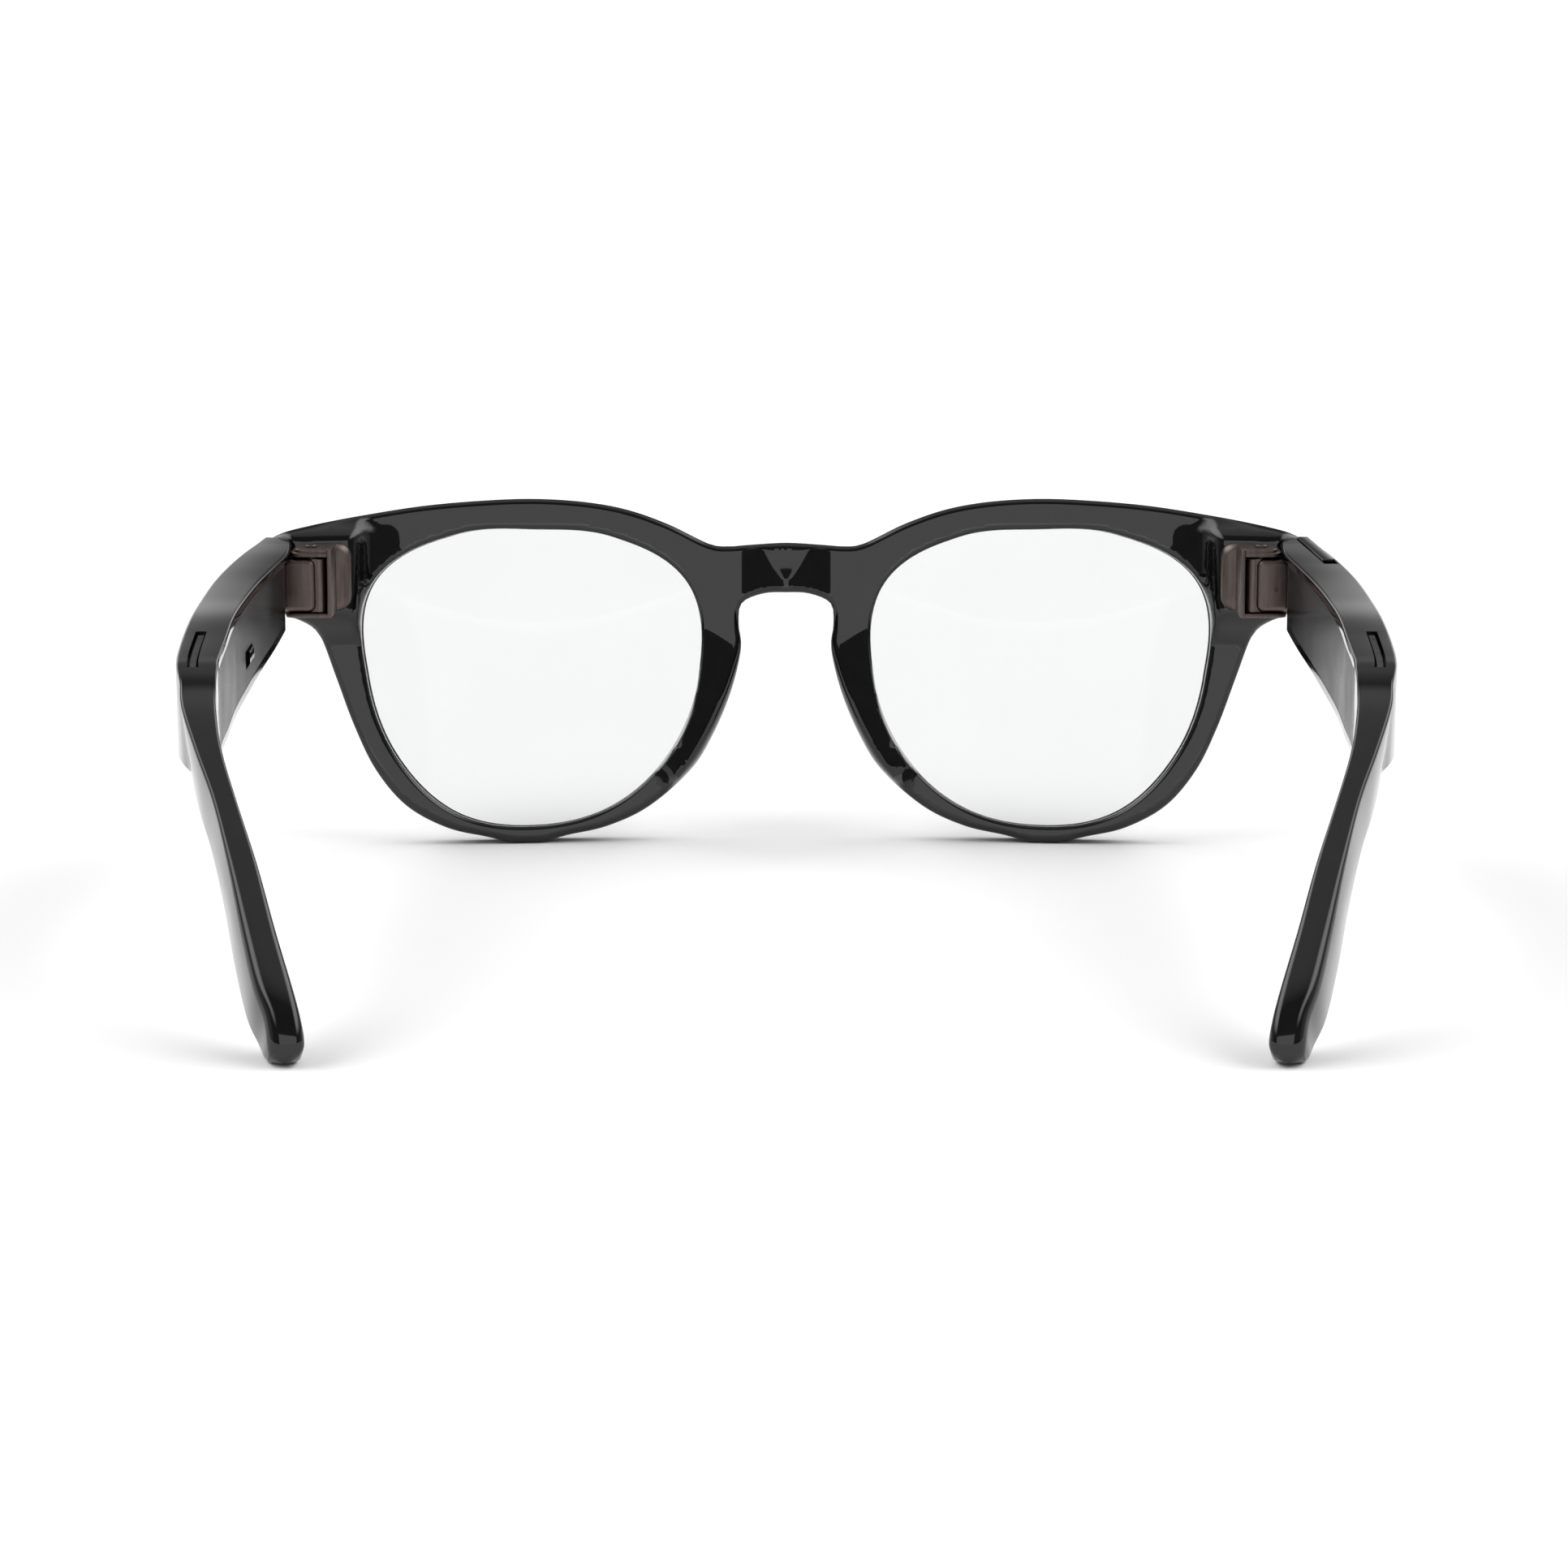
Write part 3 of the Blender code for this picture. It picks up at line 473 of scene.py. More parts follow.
def fill_points(loops, step):
    """Staggered grid points inside the first loop, outside the others and clear of them all,
    closer together near the middle."""
    low = np.min(np.array(loops[0]), axis=0)
    high = np.max(np.array(loops[0]), axis=0)
    out = []
    for spacing in (step, FINE_STEP):
        rows = np.arange(low[1], high[1], spacing * 0.87)
        points = np.array([(x + (k % 2) * spacing / 2, z) for k, z in enumerate(rows)
                           for x in np.arange(low[0], high[0], spacing)])
        fine = np.abs(points[:, 0]) < FINE_X
        keep = inside(points, loops[0]) & (fine if spacing == FINE_STEP else ~fine)
        for loop in loops[1:]:
            keep &= ~inside(points, loop)
        points = points[keep]
        for loop in loops:
            points = points[nearest(points, loop) > 0.62 * spacing]
        out += [tuple(p) for p in points]
    return out


def cap(bm, rows, loops, points, depth, place):
    """Triangles across the outer row, round the hole rows, through the extra points."""
    verts = [vert for row in rows for vert in row]
    flat = [point for loop in loops for point in loop]
    edges = []
    start = 0
    for loop in loops:
        count = len(loop)
        edges += [(start + i, start + (i + 1) % count) for i in range(count)]
        start += count
    for x, z in points:
        verts.append(bm.verts.new(place(x, z, depth(x, z))))
        flat.append((x, z))
    result = delaunay_2d_cdt([Vector(p) for p in flat], edges, [], 1, 1e-6)
    triangles, origins = result[2], result[3]
    coords = np.array([tuple(c) for c in result[0]])
    centres = np.array([coords[list(t)].mean(axis=0) for t in triangles])
    keep = np.ones(len(triangles), bool)
    for hole in loops[1:]:
        keep &= ~inside(centres, hole)
    for triangle, wanted in zip(triangles, keep):
        if wanted:
            bm.faces.new([verts[origins[i][0]] for i in triangle])


def layered(boundaries, step=0.0, place=front_place):
    """A solid between stacked loops. Each boundary (outer first, then holes) lists its loops from
    one face to the other as (loop, depth), with depth a number or a function of (x, z)."""
    bm = bmesh.new()
    all_rows = []
    for boundary in boundaries:
        rows = []
        for loop, depth in boundary:
            level = depth if callable(depth) else (lambda x, z, d=depth: d)
            rows.append([bm.verts.new(place(x, z, level(x, z))) for x, z in loop])
        wall(bm, rows)
        all_rows.append(rows)
    for end in (0, -1):
        loops = [boundary[end][0] for boundary in boundaries]
        depth = boundaries[0][end][1]
        level = depth if callable(depth) else (lambda x, z, d=depth: d)
        points = fill_points(loops, step) if step else []
        cap(bm, [rows[end] for rows in all_rows], loops, points, level, place)
    return bm


def rounded_levels(loop, face, wall_depth, radius, grow=-1.0, steps=5):
    """Loops of a quarter-round edge from the face at depth face to the wall. grow is -1 for an
    outer edge, whose face loop is smaller, and +1 for a hole. wall_depth tells the direction."""
    toward = 1.0 if wall_depth > face else -1.0
    out = []
    for k in range(steps + 1):
        a = math.pi / 2 * k / steps
        ring = offset(loop, grow * radius * (1.0 - math.sin(a)))
        out.append((ring, face + toward * radius * (1.0 - math.cos(a))))
    return out


def soft_prism(outer, low, high, radius, holes=(), place=flat_place, steps=3):
    """A straight prism of an outline between two heights, with rounded edges and plain holes."""
    bottom = rounded_levels(outer, low, high, radius, steps=steps)
    top = rounded_levels(outer, high, low, radius, steps=steps)
    boundaries = [bottom + top[::-1]]
    for hole in holes:
        bottom = rounded_levels(hole, low, high, 0.1, 1.0, 2)
        top = rounded_levels(hole, high, low, 0.1, 1.0, 2)
        boundaries.append(bottom + top[::-1])
    return layered(boundaries, 0.0, place)


# ---------------------------------------------------------------- materials
def new_material(name):
    material = bpy.data.materials.new(name)
    material.use_nodes = True
    nodes = material.node_tree.nodes
    return material, nodes, material.node_tree.links, nodes["Principled BSDF"]


def noise_value(nodes, links, scale, detail, low, high, stretch=(1.0, 1.0, 1.0)):
    """A noise pattern fixed to the object, mapped to values between low and high."""
    coord = nodes.new("ShaderNodeTexCoord")
    mapping = nodes.new("ShaderNodeMapping")
    mapping.inputs["Scale"].default_value = stretch
    noise = nodes.new("ShaderNodeTexNoise")
    noise.inputs["Scale"].default_value = scale
    noise.inputs["Detail"].default_value = detail
    spread = nodes.new("ShaderNodeMapRange")
    spread.inputs["From Min"].default_value = 0.3
    spread.inputs["From Max"].default_value = 0.7
    spread.inputs["To Min"].default_value = low
    spread.inputs["To Max"].default_value = high
    links.new(coord.outputs["Object"], mapping.inputs["Vector"])
    links.new(mapping.outputs["Vector"], noise.inputs["Vector"])
    links.new(noise.outputs["Fac"], spread.inputs["Value"])
    return spread.outputs["Result"]


def colour_between(nodes, links, factor, first, second):
    mix = nodes.new("ShaderNodeMix")
    mix.data_type = "RGBA"
    mix.inputs[6].default_value = (*first, 1.0)
    mix.inputs[7].default_value = (*second, 1.0)
    links.new(factor, mix.inputs[0])
    return mix.outputs[2]


def bump_from(nodes, links, height, strength, distance):
    bump = nodes.new("ShaderNodeBump")
    bump.inputs["Strength"].default_value = strength
    bump.inputs["Distance"].default_value = distance
    links.new(height, bump.inputs["Height"])
    return bump.outputs["Normal"]


def black_plastic(name, rough, index):
    """Black plastic between polished and satin, with faint buffing variation in its gloss."""
    material, nodes, links, shader = new_material(name)
    patches = noise_value(nodes, links, 400.0, 4.0, 0.0, 1.0)
    colour = colour_between(nodes, links, patches, (0.0022, 0.0022, 0.0024), (0.0042, 0.0041, 0.0044))
    links.new(colour, shader.inputs["Base Color"])
    gloss = noise_value(nodes, links, 140.0, 5.0, 0.9 * rough, 1.1 * rough)
    links.new(gloss, shader.inputs["Roughness"])
    peel = noise_value(nodes, links, 900.0, 2.0, 0.0, 1.0)
    links.new(bump_from(nodes, links, peel, 0.05, 0.00001), shader.inputs["Normal"])
    shader.inputs["IOR"].default_value = index
    return material


def clear_lens():
    """Clear lens with an anti-reflection coating, so it mirrors little."""
    material, nodes, links, shader = new_material("clear_lens")
    haze = noise_value(nodes, links, 60.0, 3.0, 0.0, 1.0)
    colour = colour_between(nodes, links, haze, (0.785, 0.790, 0.790), (0.795, 0.800, 0.800))
    links.new(colour, shader.inputs["Base Color"])
    shader.inputs["Transmission Weight"].default_value = 1.0
    shader.inputs["IOR"].default_value = 1.2
    links.new(noise_value(nodes, links, 90.0, 3.0, 0.0, 0.006), shader.inputs["Roughness"])
    return material


def hinge_bronze():
    """Dark bronze plated metal, finely brushed along the hinge's height."""
    material, nodes, links, shader = new_material("hinge_bronze")
    brushed = noise_value(nodes, links, 1400.0, 3.0, 0.0, 1.0, (1.0, 1.0, 0.06))
    colour = colour_between(nodes, links, brushed, (0.100, 0.079, 0.071), (0.140, 0.114, 0.105))
    links.new(colour, shader.inputs["Base Color"])
    shader.inputs["Metallic"].default_value = 1.0
    links.new(noise_value(nodes, links, 500.0, 4.0, 0.36, 0.46), shader.inputs["Roughness"])
    links.new(bump_from(nodes, links, brushed, 0.12, 0.00002), shader.inputs["Normal"])
    return material


def plain_metal(name, dark, light, rough):
    """Machined or plated metal with a fine grain."""
    material, nodes, links, shader = new_material(name)
    grain = noise_value(nodes, links, 900.0, 4.0, 0.0, 1.0)
    links.new(colour_between(nodes, links, grain, dark, light), shader.inputs["Base Color"])
    shader.inputs["Metallic"].default_value = 1.0
    links.new(noise_value(nodes, links, 600.0, 3.0, rough * 0.8, rough * 1.2), shader.inputs["Roughness"])
    return material


def matte_material(name, dark, light, rough):
    """Moulded or coated surface with a fine texture."""
    material, nodes, links, shader = new_material(name)
    grain = noise_value(nodes, links, 700.0, 5.0, 0.0, 1.0)
    links.new(colour_between(nodes, links, grain, dark, light), shader.inputs["Base Color"])
    links.new(noise_value(nodes, links, 400.0, 3.0, rough * 0.85, rough * 1.1), shader.inputs["Roughness"])
    links.new(bump_from(nodes, links, grain, 0.2, 0.00003), shader.inputs["Normal"])
    return material


def window_glass():
    """Dark tinted cover glass."""
    material, nodes, links, shader = new_material("window_glass")
    tint = noise_value(nodes, links, 300.0, 2.0, 0.0, 1.0)
    colour = colour_between(nodes, links, tint, (0.10, 0.10, 0.13), (0.13, 0.13, 0.17))
    links.new(colour, shader.inputs["Base Color"])
    shader.inputs["Transmission Weight"].default_value = 0.9
    shader.inputs["IOR"].default_value = 1.52
    links.new(noise_value(nodes, links, 200.0, 2.0, 0.01, 0.03), shader.inputs["Roughness"])
    return material


def woven_mesh():
    """Fine black woven speaker mesh."""
    material, nodes, links, shader = new_material("woven_mesh")
    coord = nodes.new("ShaderNodeTexCoord")
    weave = nodes.new("ShaderNodeTexVoronoi")
    weave.inputs["Scale"].default_value = 4500.0
    weave.inputs["Randomness"].default_value = 0.0
    links.new(coord.outputs["Object"], weave.inputs["Vector"])
    distance = weave.outputs["Distance"]
    links.new(colour_between(nodes, links, distance, (0.004, 0.004, 0.004), (0.03, 0.03, 0.03)),
              shader.inputs["Base Color"])
    links.new(noise_value(nodes, links, 800.0, 2.0, 0.5, 0.7), shader.inputs["Roughness"])
    links.new(bump_from(nodes, links, distance, 0.6, 0.0001), shader.inputs["Normal"])
    return material


# ---------------------------------------------------------------- the front
def outer_to_seam(outline):
    """Front shell's outer wall, from the rounded front edge to the seam."""
    groove = [(outline, SEAM + SEAM_V), (offset(outline, -SEAM_V), SEAM + SEAM_REST)]
    return rounded_levels(outline, FRONT_FACE, SEAM, ROUND) + groove


def front_shell(black):
    """Front half of the front, with the lens openings and the two round pockets."""
    boundaries = [outer_to_seam(front_outline())]
    for side in (-1, 1):
        opening = opening_loop(side, 0)
        groove = opening_loop(side, GROOVE)
        seat = [(opening, LENS_LIP), (groove, LENS_LIP), (groove, SEAM + SEAM_REST)]
        boundaries.append(rounded_levels(opening, FRONT_FACE, SEAM, RIM_ROUND_FRONT, 1.0) + seat)
        pocket = circle(side * POCKET_X, POCKET_Z, POCKET_R)
        bore = [(pocket, SEAM + SEAM_REST)]
        boundaries.append(rounded_levels(pocket, FRONT_FACE, SEAM, 0.25, 1.0, 3) + bore)
    bm = layered(boundaries, FILL_STEP)
    return piece("front_shell_fine", bm, "front", black, ["front_shell"], "frame_black")


def rear_shell(black):
    """Rear half of the front: rims, bridge, end-piece housings and moulded nose pads."""
    outline = front_outline()
    outer = [(offset(outline, -SEAM_V), SEAM - SEAM_REST), (outline, SEAM - SEAM_V)]
    for k in range(6):
        a = math.pi / 2 * k / 5
        turn = 1.0 - math.cos(a)
        ring = offset(outline, lambda x, z, t=turn: -t * (ROUND + PAD_FLARE * pad_share(x, z)))
        share = math.sin(a)
        outer.append((ring, lambda x, z, s=share: rear_shoulder(x, z) * (1.0 - s) + rear_depth(x, z) * s))
    boundaries = [outer]
    for side in (-1, 1):
        opening = opening_loop(side, 0)
        hole = [(opening, SEAM - SEAM_REST)]
        for k in range(5):
            a = math.pi / 2 * k / 4
            ring = offset(opening, RIM_ROUND_REAR * (1.0 - math.cos(a)))
            drop = RIM_ROUND_REAR * (1.0 - math.sin(a))
            hole.append((ring, lambda x, z, d=drop: rear_depth(x, z) + d))
        boundaries.append(hole)
    bm = layered(boundaries, FILL_STEP)
    pockets = []
    for side in (-1, 1):
        pocket = circle(side * POCKET_X, POCKET_Z, POCKET_R)
        pockets.append(layered([[(pocket, SEAM + 1.0), (pocket, -1.3)]]))
    return piece("rear_shell_fine", carved(bm, pockets), "front", black, ["rear_shell"], "frame_black")


def lens(side, word, glass):
    """A crowned lens with a ground edge bevel, seated in the rim groove."""
    bm = bmesh.new()
    outer = opening_loop(side, GROOVE - 0.25)
    middle = (side * LENS_X, LENS_Z)
    edge = offset(outer, -LENS_BEVEL)
    sheets = []
    for surface in (LENS_LIP - 0.1, SEAM + 0.12):
        rows = []
        for k in range(LENS_RINGS):
            share = 1.0 - k / LENS_RINGS
            crown = LENS_CROWN * (1.0 - share * share)
            loop = [(middle[0] + (x - middle[0]) * share, middle[1] + (z - middle[1]) * share)
                    for x, z in edge]
            rows.append([bm.verts.new(front_place(x, z, surface + crown)) for x, z in loop])
        wall(bm, rows)
        centre = bm.verts.new(front_place(*middle, surface + LENS_CROWN))
        last = rows[-1]
        for i, vert in enumerate(last):
            bm.faces.new((vert, last[(i + 1) % len(last)], centre))
        sheets.append(rows[0])
    ridge = [bm.verts.new(front_place(x, z, (LENS_LIP + SEAM) / 2)) for x, z in outer]
    wall(bm, [sheets[0], ridge, sheets[1]])
    name = "lens_" + word
    return piece(name + "_fine", bm, "front", glass, [name], "lens_clear")


def ring_piece(name, node, x, bore_radius, black):
    """Bezel ring with a turned-in lip round the window."""
    rim = circle(x, POCKET_Z, BEZEL_R)
    bore = circle(x, POCKET_Z, bore_radius)
    outer = rounded_levels(rim, BEZEL_FRONT, BEZEL_BACK, 0.35) + [(rim, BEZEL_BACK)]
    inner = rounded_levels(bore, BEZEL_FRONT, BEZEL_BACK, 0.3, 1.0) + [(bore, BEZEL_BACK)]
    return piece(name, layered([outer, inner]), "front", black, [node], "frame_black")


def window_piece(name, node, x, radius, low, glass):
    """Round cover glass with a softened front edge."""
    rim = circle(x, POCKET_Z, radius)
    bm = layered([rounded_levels(rim, WINDOW_FRONT, low, 0.12, steps=2) + [(rim, low)]])
    return piece(name, bm, "front", glass, [node], "module_glass")


def camera_barrel(dark):
    """Stepped lens barrel whose rings lead down to the front element."""
    profile = ((0.95, 2.85), (1.35, 2.9), (1.35, 3.15), (1.75, 3.2), (1.75, 3.45), (1.9, 3.6),
               (2.05, 3.55), (2.05, 2.95), (2.6, 2.9), (2.6, 0.6))
    rows = [(circle(-POCKET_X, POCKET_Z, radius), depth) for radius, depth in profile]
    return piece("camera_barrel_fine", layered([rows]), "front", dark, ["camera_barrel"], "module_black")


def camera_element(glass):
    """The camera's domed front element."""
    radius, height, rest = 0.9, 0.3, 2.9
    rows = [(circle(-POCKET_X, POCKET_Z, radius * math.sin(a)), rest + height * math.cos(a))
            for a in (math.pi / 2 * k / 6 for k in range(1, 7))]
    rows.append((circle(-POCKET_X, POCKET_Z, radius), rest - 0.03))
    return piece("camera_element", layered([rows]), "front", glass, [], "module_glass")


# ---------------------------------------------------------------- hinges
def flat_upright(x, z, y):
    """World point of an outline seen from behind."""
    return flat_place(x, y, z)


def block_at(outline, rear, front, radius):
    """Block of an outline seen from behind, between two y values, with a rounded rear edge."""
    rows = [(outline, front)] + rounded_levels(outline, rear, front, radius, steps=5)[::-1]
    return layered([rows], 0.0, flat_upright)


def pin_hole(side):
    """Plan of the bore that the pin turns in."""
    return circle(side * HINGE_X, -HINGE_BACK, PIN_R + PIN_PLAY, 32)


def hinge_plate(side, word, bronze):
    """Plate on the end piece with the bracket that holds the pin: a ridge and two ears."""
    plate = mirror_x(rounded_rectangle(*PLATE), side)
    face, back = -HOUSING_DEPTH - 0.05, -HOUSING_DEPTH - PLATE_THICK
    rows = [(plate, face)] + rounded_levels(plate, back, face, 1.1, steps=6)[::-1]
    ridge = mirror_x(rounded_rectangle(*RIDGE), side)
    parts = [block_at(ridge, *RIDGE_Y, 0.12)]
    for (low, high), reach in zip(EAR_LAYERS, EAR_REACH):
        ear = mirror_x(ear_outline(reach), side)
        parts.append(soft_prism(ear, low, high, 0.15, [pin_hole(side)]))
    bm = carved(layered([rows]), parts, "UNION")
    name = "hinge_plate_" + word
    return piece(name + "_fine", bm, "front", bronze, [name], "hinge_bronze")


def ear_outline(reach):
    """Plan of an ear, from the plate back past the pin, with a rounded rear corner."""
    corner = 0.8 if reach < 69.0 else 1.3
    arc = [(reach - corner + corner * math.cos(a), EAR_REAR + corner - corner * math.sin(a))
           for a in (math.pi / 2 * k / 8 for k in range(9))]
    return [(EAR_INNER, EAR_FRONT), (EAR_INNER, EAR_REAR)] + arc[::-1] + [(reach, EAR_FRONT)]


def strip_outline():
    """Plan of the leaf's rounded strip beside the plate's ridge."""
    front = BLOCK_Y[1]
    arc = [(65.62 - math.cos(a), -9.45 - math.sin(a)) for a in (math.pi / 2 * k / 8 for k in range(9))]
    return [(64.62, front)] + arc + [(65.8, -10.45), (65.85, -10.2), (66.6, -10.2), (66.6, front)]


def hinge_leaf(side, word, bronze):
    """Block on the pin that carries the temple, and the strap let into the temple."""
    low, high = LEAF_LOW, LEAF_TOP - 0.05
    block = rounded_rectangle(BLOCK_X, (low + high) / 2, BLOCK_WIDTH, high - low, 1.1, 8)
    strap = rounded_rectangle(*STRAP)
    bm = carved(block_at(mirror_x(block, side), *BLOCK_Y, 0.85),
                [soft_prism(mirror_x(strip_outline(), side), low, high, 0.12),
                 soft_prism(mirror_x(strap, side), low + 0.3, high - 0.3, 0.2)], "UNION")
    hole = pin_hole(side)
    tools = [layered([[(hole, low - 1.0), (hole, high + 1.0)]], 0.0, flat_place)]
    if side > 0:
        peep = rounded_rectangle(*PEEP)
        tools.append(layered([[(peep, -10.2), (peep, -11.5)]], 0.0, flat_upright))
    name = "hinge_leaf_" + word
    return piece(name + "_fine", carved(bm, tools), word + "_temple", bronze, [name], "hinge_bronze")


def hinge_pin(side, word, steel):
    """Pin with a slotted, slightly domed head."""
    low, high = EAR_LAYERS[0][0], PIN_TOP
    middle = (side * HINGE_X, -HINGE_BACK)
    profile = ((PIN_R - 0.2, low - 0.02), (PIN_R, low + 0.15), (PIN_R, high - 0.05),
               (PIN_R - 0.1, high + 0.08), (PIN_R - 0.35, high + 0.15))
    rows = [(circle(*middle, radius, 32), level) for radius, level in profile]
    slot_cut = rounded_rectangle(*middle, 2.4, 0.22, 0.1, 3)
    tools = [layered([[(slot_cut, high - 0.25), (slot_cut, high + 0.6)]], 0.0, flat_place)]
    bm = carved(layered([rows], 0.0, flat_place), tools)
    name = "hinge_pin_" + word
    return piece(name + "_fine", bm, "front", steel, [name], "pin_steel")


# ---------------------------------------------------------------- temples
def refine(sections, steps):
    """The sections with smooth steps put between them."""
    out = []
    for i in range(len(sections) - 1):
        four = [sections[min(max(i + k, 0), len(sections) - 1)] for k in (-1, 0, 1, 2)]
        for step in range(steps):
            out.append(tuple(blend_four(*values, step / steps) for values in zip(*four)))
    out.append(sections[-1])
    return out


ARM = refine(ARM_SECTIONS, 6)
TAIL_END = refine(ARM_SECTIONS[-1:] + (TIP,), 5)[1:]


def arm_at(depth):
    """Straight-part section at a depth: top z, bottom z, outer x, inner x."""
    for near, far in zip(ARM, ARM[1:]):
        if depth <= far[0]:
            t = (depth - near[0]) / (far[0] - near[0])
            return tuple(near[n] + (far[n] - near[n]) * t for n in (1, 3, 4, 5))
    return ARM[-1][1], ARM[-1][3], ARM[-1][4], ARM[-1][5]


def arm_place(side, x, depth, z):
    """World point of a temple, with depth measured backwards from the rims' rear face."""
    return Vector((side * x, ORIGIN_Y - depth, z)) * MM


def arm_sweep(side, start, end, corners):
    """A solid along the straight temple, whose section corners come from corners(...)."""
    stops = [start] + [s[0] for s in ARM if start + 0.3 < s[0] < end - 0.3] + [end]
    bm = bmesh.new()
    rows = [[bm.verts.new(arm_place(side, x, depth, z)) for x, z in corners(*arm_at(depth))]
            for depth in stops]
    wall(bm, rows)
    bm.faces.new(rows[0])
    bm.faces.new(rows[-1])
    return bm


def bay_corners(top, bottom, outer, inner):
    """Section of the electronics bay, open on the inner face."""
    low, high = bottom + BAY_LOW, top - BAY_HIGH
    return [(inner - 1.0, low), (outer - WALL, low), (outer - WALL, high), (inner - 1.0, high)]


def slot_corners(share, half_width, low, high):
    """Section of a slot in the top edge, at a share of the temple's thickness."""
    def corners(top, bottom, outer, inner):
        middle = inner + (outer - inner) * share
        return [(middle - half_width, top + low), (middle + half_width, top + low),
                (middle + half_width, top + high), (middle - half_width, top + high)]
    return corners


def face_corners(share, half_height, low, high):
    """Section of a cut into the inner face, at a share of the temple's height."""
    def corners(top, bottom, outer, inner):
        middle = bottom + (top - bottom) * share
        return [(inner + low, middle - half_height), (inner + high, middle - half_height),
                (inner + high, middle + half_height), (inner + low, middle + half_height)]
    return corners


def arm_ring(bm, side, section, rounding, start=False):
    """One rounded section ring of the temple. A start ring follows the front's rear face."""
    top_depth, top_z, bottom_depth, bottom_z, outer, inner, lean = section
    height = math.hypot(top_depth - bottom_depth, top_z - bottom_z)
    rounding = min(rounding, 0.48 * min(height, outer - inner))
    ring = []
    for across, up in rounded_rectangle(0.0, 0.0, outer - inner, height, rounding, 7):
        share = up / height + 0.5
        low_inner = inner + max(0.0, lean) * (1.0 - share)
        low_outer = outer + lean * (1.0 - share)
        x = low_inner + (low_outer - low_inner) * (across / (outer - inner) + 0.5)
        z = max(0.0, bottom_z + (top_z - bottom_z) * share)
        depth = bottom_depth + (top_depth - bottom_depth) * share
        if start:
            rear_face = TILT * z + WRAP_LEAD - WRAP * x * x - float(housing(x, z))
            depth = START_GAP - rear_face
        ring.append(bm.verts.new(arm_place(side, x, depth, z)))
    return ring


def arm_body(side):
    """Outer form of the temple, from its front end to the rounded tip."""
    bm = bmesh.new()
    inwards, forwards, backwards = START_BEVEL
    shrink = (0.0, -inwards, 0.0, inwards, -inwards, inwards, 0.0)
    inset = [value + change for value, change in zip(ARM_START, shrink)]
    rows = [arm_ring(bm, side, inset, ARM_ROUND - 0.2, start=True),
            arm_ring(bm, side, ARM_START, ARM_ROUND, start=True)]
    for row, shift in zip(rows, (forwards, -backwards)):
        for vert in row:
            vert.co.y += shift * MM
    for section in ARM + TAIL_END:
        rounding = ARM_ROUND + TIP_ROUND * float(smoothstep(section[0], *TIP_ROUND_BAND))
        rows.append(arm_ring(bm, side, section, rounding))
    wall(bm, rows)
    bm.faces.new(rows[0])
    bm.faces.new(rows[-1])
    return bm


def temple_shell(side, word, black):
    """Outer shell with the tail, cut out for the bay, the hinge leaf, the speaker and the button."""
    tools = [arm_sweep(side, *CAVITY, bay_corners)]
    recess = mirror_x(rounded_rectangle(*RECESS), side)
    tools.append(layered([[(recess, 32.0), (recess, LEAF_TOP + 0.1)]], 0.0, flat_place))
    tools.append(arm_sweep(side, *SPEAKER_SLOT, slot_corners(SPEAKER_SHARE, 0.7, -1.8, 1.0)))
    if side > 0:
        tools.append(arm_sweep(side, *BUTTON_SLOT, slot_corners(BUTTON_SHARE, 0.95, -2.2, 1.0)))
    bm = carved(arm_body(side), tools)
    name = "temple_shell_" + word
    return piece(name + "_fine", bm, word + "_temple", black, [name], "frame_black")


def temple_cover(side, word, satin):
    """Inner cover of the electronics bay, inlaid with a hairline seam."""
    def corners(top, bottom, outer, inner):
        low, high = bottom + BAY_LOW + SEAM_GAP, top - BAY_HIGH - SEAM_GAP
        return [(inner + 0.06, low), (inner, low + 0.06), (inner, high - 0.06), (inner + 0.06, high),
                (inner + 1.15, high), (inner + 1.15, low)]
    bm = arm_sweep(side, CAVITY[0] + SEAM_GAP, CAVITY[1] - SEAM_GAP, corners)
    if side < 0:
        bm = carved(bm, [arm_sweep(side, *SLIDER_SLOT, face_corners(SLIDER_SHARE, 1.2, -1.0, 2.2))])
    name = "temple_cover_" + word
    return piece(name + "_fine", bm, word + "_temple", satin, [name], "frame_black")


def capture_button(black):
    """Long button with softened edges."""
    def corners(top, bottom, outer, inner):
        middle = inner + (outer - inner) * BUTTON_SHARE
        return rounded_rectangle(middle, top - 0.67, 1.7, 2.04, 0.3, 4)
    bm = arm_sweep(1, *BUTTON, corners)
    return piece("capture_button_fine", bm, "button", black, ["capture_button"], "frame_black")


def power_slider(black):
    """Slider with grip grooves across it."""
    def corners(top, bottom, outer, inner):
        middle = bottom + (top - bottom) * SLIDER_SHARE
        return rounded_rectangle(inner + 0.95, middle, 2.5, 1.7, 0.2, 3)
    bm = arm_sweep(-1, *SLIDER, corners)
    ribs = []
    for k in range(RIBS):
        start = RIB_FIRST + RIB_PITCH * k
        ribs.append(arm_sweep(-1, start, start + RIB_WIDTH, face_corners(SLIDER_SHARE, 1.2, -0.8, -0.15)))
    return piece("power_slider_fine", carved(bm, ribs), "slider", black, ["power_slider"], "frame_black")


# ---------------------------------------------------------------- the hidden parts keep their solids
def finish_nodes(materials):
    """Give every CAD node that stays its finish from the record's slots."""
    for part in frame["record"]["subparts"]:
        obj = frame["nodes"][part["node"]]
        for slot in obj.material_slots:
            slot.material = materials[part["material_slot"]]


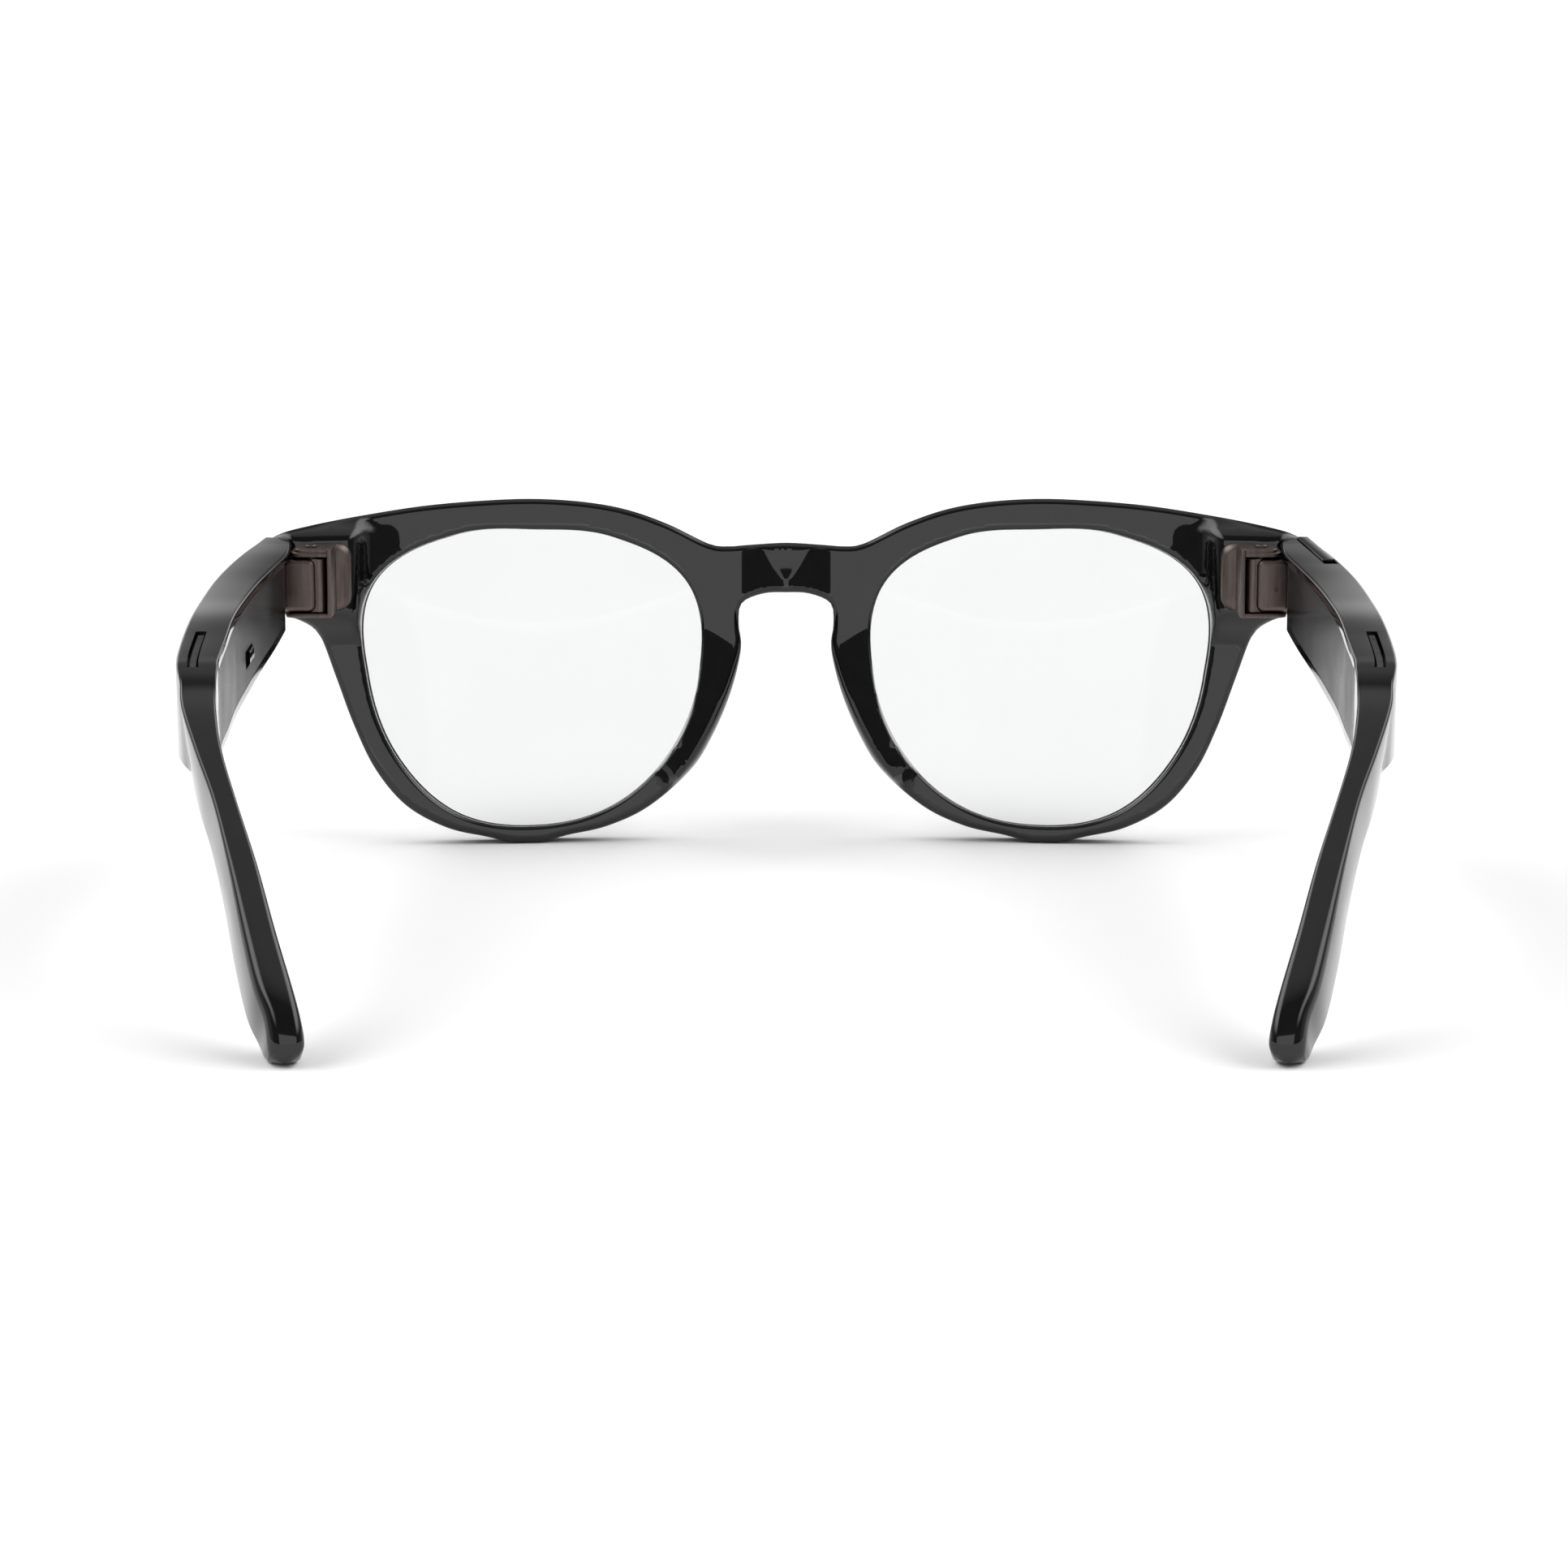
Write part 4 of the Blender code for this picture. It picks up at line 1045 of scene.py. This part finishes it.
# ---------------------------------------------------------------- stage, light and camera
def stage_floor():
    """Plain pale floor, far larger than the view."""
    material, nodes, links, shader = new_material("pale_floor")
    cloud = noise_value(nodes, links, 3.0, 2.0, 0.0, 1.0)
    colour = colour_between(nodes, links, cloud, (0.90, 0.90, 0.90), (0.92, 0.92, 0.92))
    links.new(colour, shader.inputs["Base Color"])
    shader.inputs["Roughness"].default_value = 0.9
    shader.inputs["Specular IOR Level"].default_value = 0.1
    bm = bmesh.new()
    bmesh.ops.create_grid(bm, x_segments=2, y_segments=2, size=400.0)
    mesh = bpy.data.meshes.new("floor")
    bm.to_mesh(mesh)
    bm.free()
    mesh.materials.append(material)
    floor = bpy.data.objects.new("floor", mesh)
    bpy.context.scene.collection.objects.link(floor)


def softbox(name, location, target, width, height, radiance):
    """Rectangular area light of even brightness, aimed at the target."""
    light = bpy.data.lights.new(name, "AREA")
    light.shape = "RECTANGLE"
    light.size = width
    light.size_y = height
    light.energy = radiance * math.pi * width * height
    obj = bpy.data.objects.new(name, light)
    obj.location = location
    obj.rotation_euler = (Vector(target) - Vector(location)).to_track_quat("-Z", "Y").to_euler()
    bpy.context.scene.collection.objects.link(obj)
    return obj


def mapped(nodes, links, value, from_range, to_range):
    """A smooth ramp of a value in the world's shader."""
    node = nodes.new("ShaderNodeMapRange")
    node.interpolation_type = "SMOOTHSTEP"
    node.inputs["From Min"].default_value, node.inputs["From Max"].default_value = from_range
    node.inputs["To Min"].default_value, node.inputs["To Max"].default_value = to_range
    links.new(value, node.inputs["Value"])
    return node.outputs["Result"]


def combined(nodes, links, operation, first, second):
    """Two values, each a number or a socket, put together in the world's shader."""
    node = nodes.new("ShaderNodeMath")
    node.operation = operation
    for value, socket in zip((first, second), node.inputs):
        if isinstance(value, float):
            socket.default_value = value
        else:
            links.new(value, socket)
    return node.outputs["Value"]


def studio():
    """White horizon ahead, darker sky above and behind it, bright panels high at both sides."""
    world = bpy.data.worlds.new("studio")
    world.use_nodes = True
    nodes, links = world.node_tree.nodes, world.node_tree.links
    direction = nodes.new("ShaderNodeTexCoord").outputs["Generated"]
    split = nodes.new("ShaderNodeSeparateXYZ")
    links.new(direction, split.inputs["Vector"])
    across, ahead, height = split.outputs
    sideways = combined(nodes, links, "ABSOLUTE", across, 0.0)
    horizon = mapped(nodes, links, height, (0.10, 0.27), (1.0, SKY_DARK))
    front = mapped(nodes, links, ahead, (-0.2, 0.35), (0.0, 1.0))
    low = combined(nodes, links, "MULTIPLY", horizon, front)
    zenith = mapped(nodes, links, height, (0.72, 0.95), (0.0, ZENITH))
    panel_side = mapped(nodes, links, sideways, (0.3, 0.6), (0.0, SIDE_PANEL))
    panel_height = mapped(nodes, links, height, (0.35, 0.6), (0.0, 1.0))
    panel = combined(nodes, links, "MULTIPLY", panel_side, panel_height)
    wing_side = mapped(nodes, links, sideways, (0.75, 0.95), (0.0, SIDE_WING))
    wing_height = mapped(nodes, links, height, (0.3, 0.5), (1.0, 0.0))
    wing = combined(nodes, links, "MULTIPLY", wing_side, wing_height)
    total = combined(nodes, links, "ADD", low, zenith)
    for extra in (panel, wing):
        total = combined(nodes, links, "ADD", total, extra)
    total = combined(nodes, links, "MAXIMUM", total, SKY_DARK)
    background = nodes["Background"]
    background.inputs["Color"].default_value = (1.0, 1.0, 1.0, 1.0)
    links.new(total, background.inputs["Strength"])
    bpy.context.scene.world = world
    softbox("behind_camera", (0.0, -1.7, 0.31), (0.0, 0.0, 0.12), 1.2, 0.74, SOFTBOX)
    bpy.context.scene.view_settings.view_transform = "Standard"


def camera():
    """Camera behind the temples, a little above them."""
    data = bpy.data.cameras.new("camera")
    data.lens = CAMERA_LENS
    data.sensor_width = 36.0
    data.clip_start = 0.01
    data.clip_end = 1000.0
    obj = bpy.data.objects.new("camera", data)
    obj.location = (CAMERA_ASIDE, ORIGIN_Y * MM - CAMERA_BACK, CAMERA_HEIGHT)
    obj.rotation_euler = (math.radians(90.0 - CAMERA_PITCH), 0.0, 0.0)
    bpy.context.scene.collection.objects.link(obj)
    bpy.context.scene.camera = obj


def build():
    """The finished glasses on their stage."""
    black = black_plastic("gloss_black", 0.048, 1.5)
    satin = black_plastic("satin_black", 0.24, 1.15)
    glass = clear_lens()
    bronze = hinge_bronze()
    steel = plain_metal("pin_steel", (0.070, 0.056, 0.050), (0.100, 0.082, 0.075), 0.42)
    dark = matte_material("module_black", (0.008, 0.008, 0.009), (0.016, 0.016, 0.018), 0.4)
    cover_glass = window_glass()
    materials = {
        "frame_black": black, "lens_clear": glass, "module_glass": cover_glass, "module_black": dark,
        "hinge_bronze": bronze, "pin_steel": steel, "speaker_mesh": woven_mesh(),
        "circuit_board": matte_material("circuit_board", (0.012, 0.075, 0.035), (0.02, 0.11, 0.05), 0.42),
        "flex_circuit": matte_material("flex_circuit", (0.38, 0.17, 0.04), (0.5, 0.25, 0.07), 0.38),
        "module_silver": plain_metal("module_silver", (0.48, 0.49, 0.5), (0.62, 0.63, 0.65), 0.35),
        "contact_gold": plain_metal("contact_gold", (0.78, 0.55, 0.2), (0.9, 0.68, 0.3), 0.22),
    }
    finish_nodes(materials)
    front_shell(black)
    rear_shell(black)
    ring_piece("camera_bezel_fine", "camera_bezel", -POCKET_X, 2.35, black)
    ring_piece("light_bezel_fine", "light_bezel", POCKET_X, 2.15, black)
    window_piece("camera_window_fine", "camera_window", -POCKET_X, 2.3, 3.9, cover_glass)
    window_piece("light_window_fine", "light_window", POCKET_X, 2.1, 3.6, cover_glass)
    camera_barrel(dark)
    camera_element(cover_glass)
    for side, word in ((-1, "left"), (1, "right")):
        lens(side, word, glass)
        hinge_plate(side, word, bronze)
        hinge_leaf(side, word, bronze)
        hinge_pin(side, word, steel)
        temple_shell(side, word, black)
        temple_cover(side, word, satin)
    capture_button(black)
    power_slider(black)
    stage_floor()
    studio()
    camera()


build()
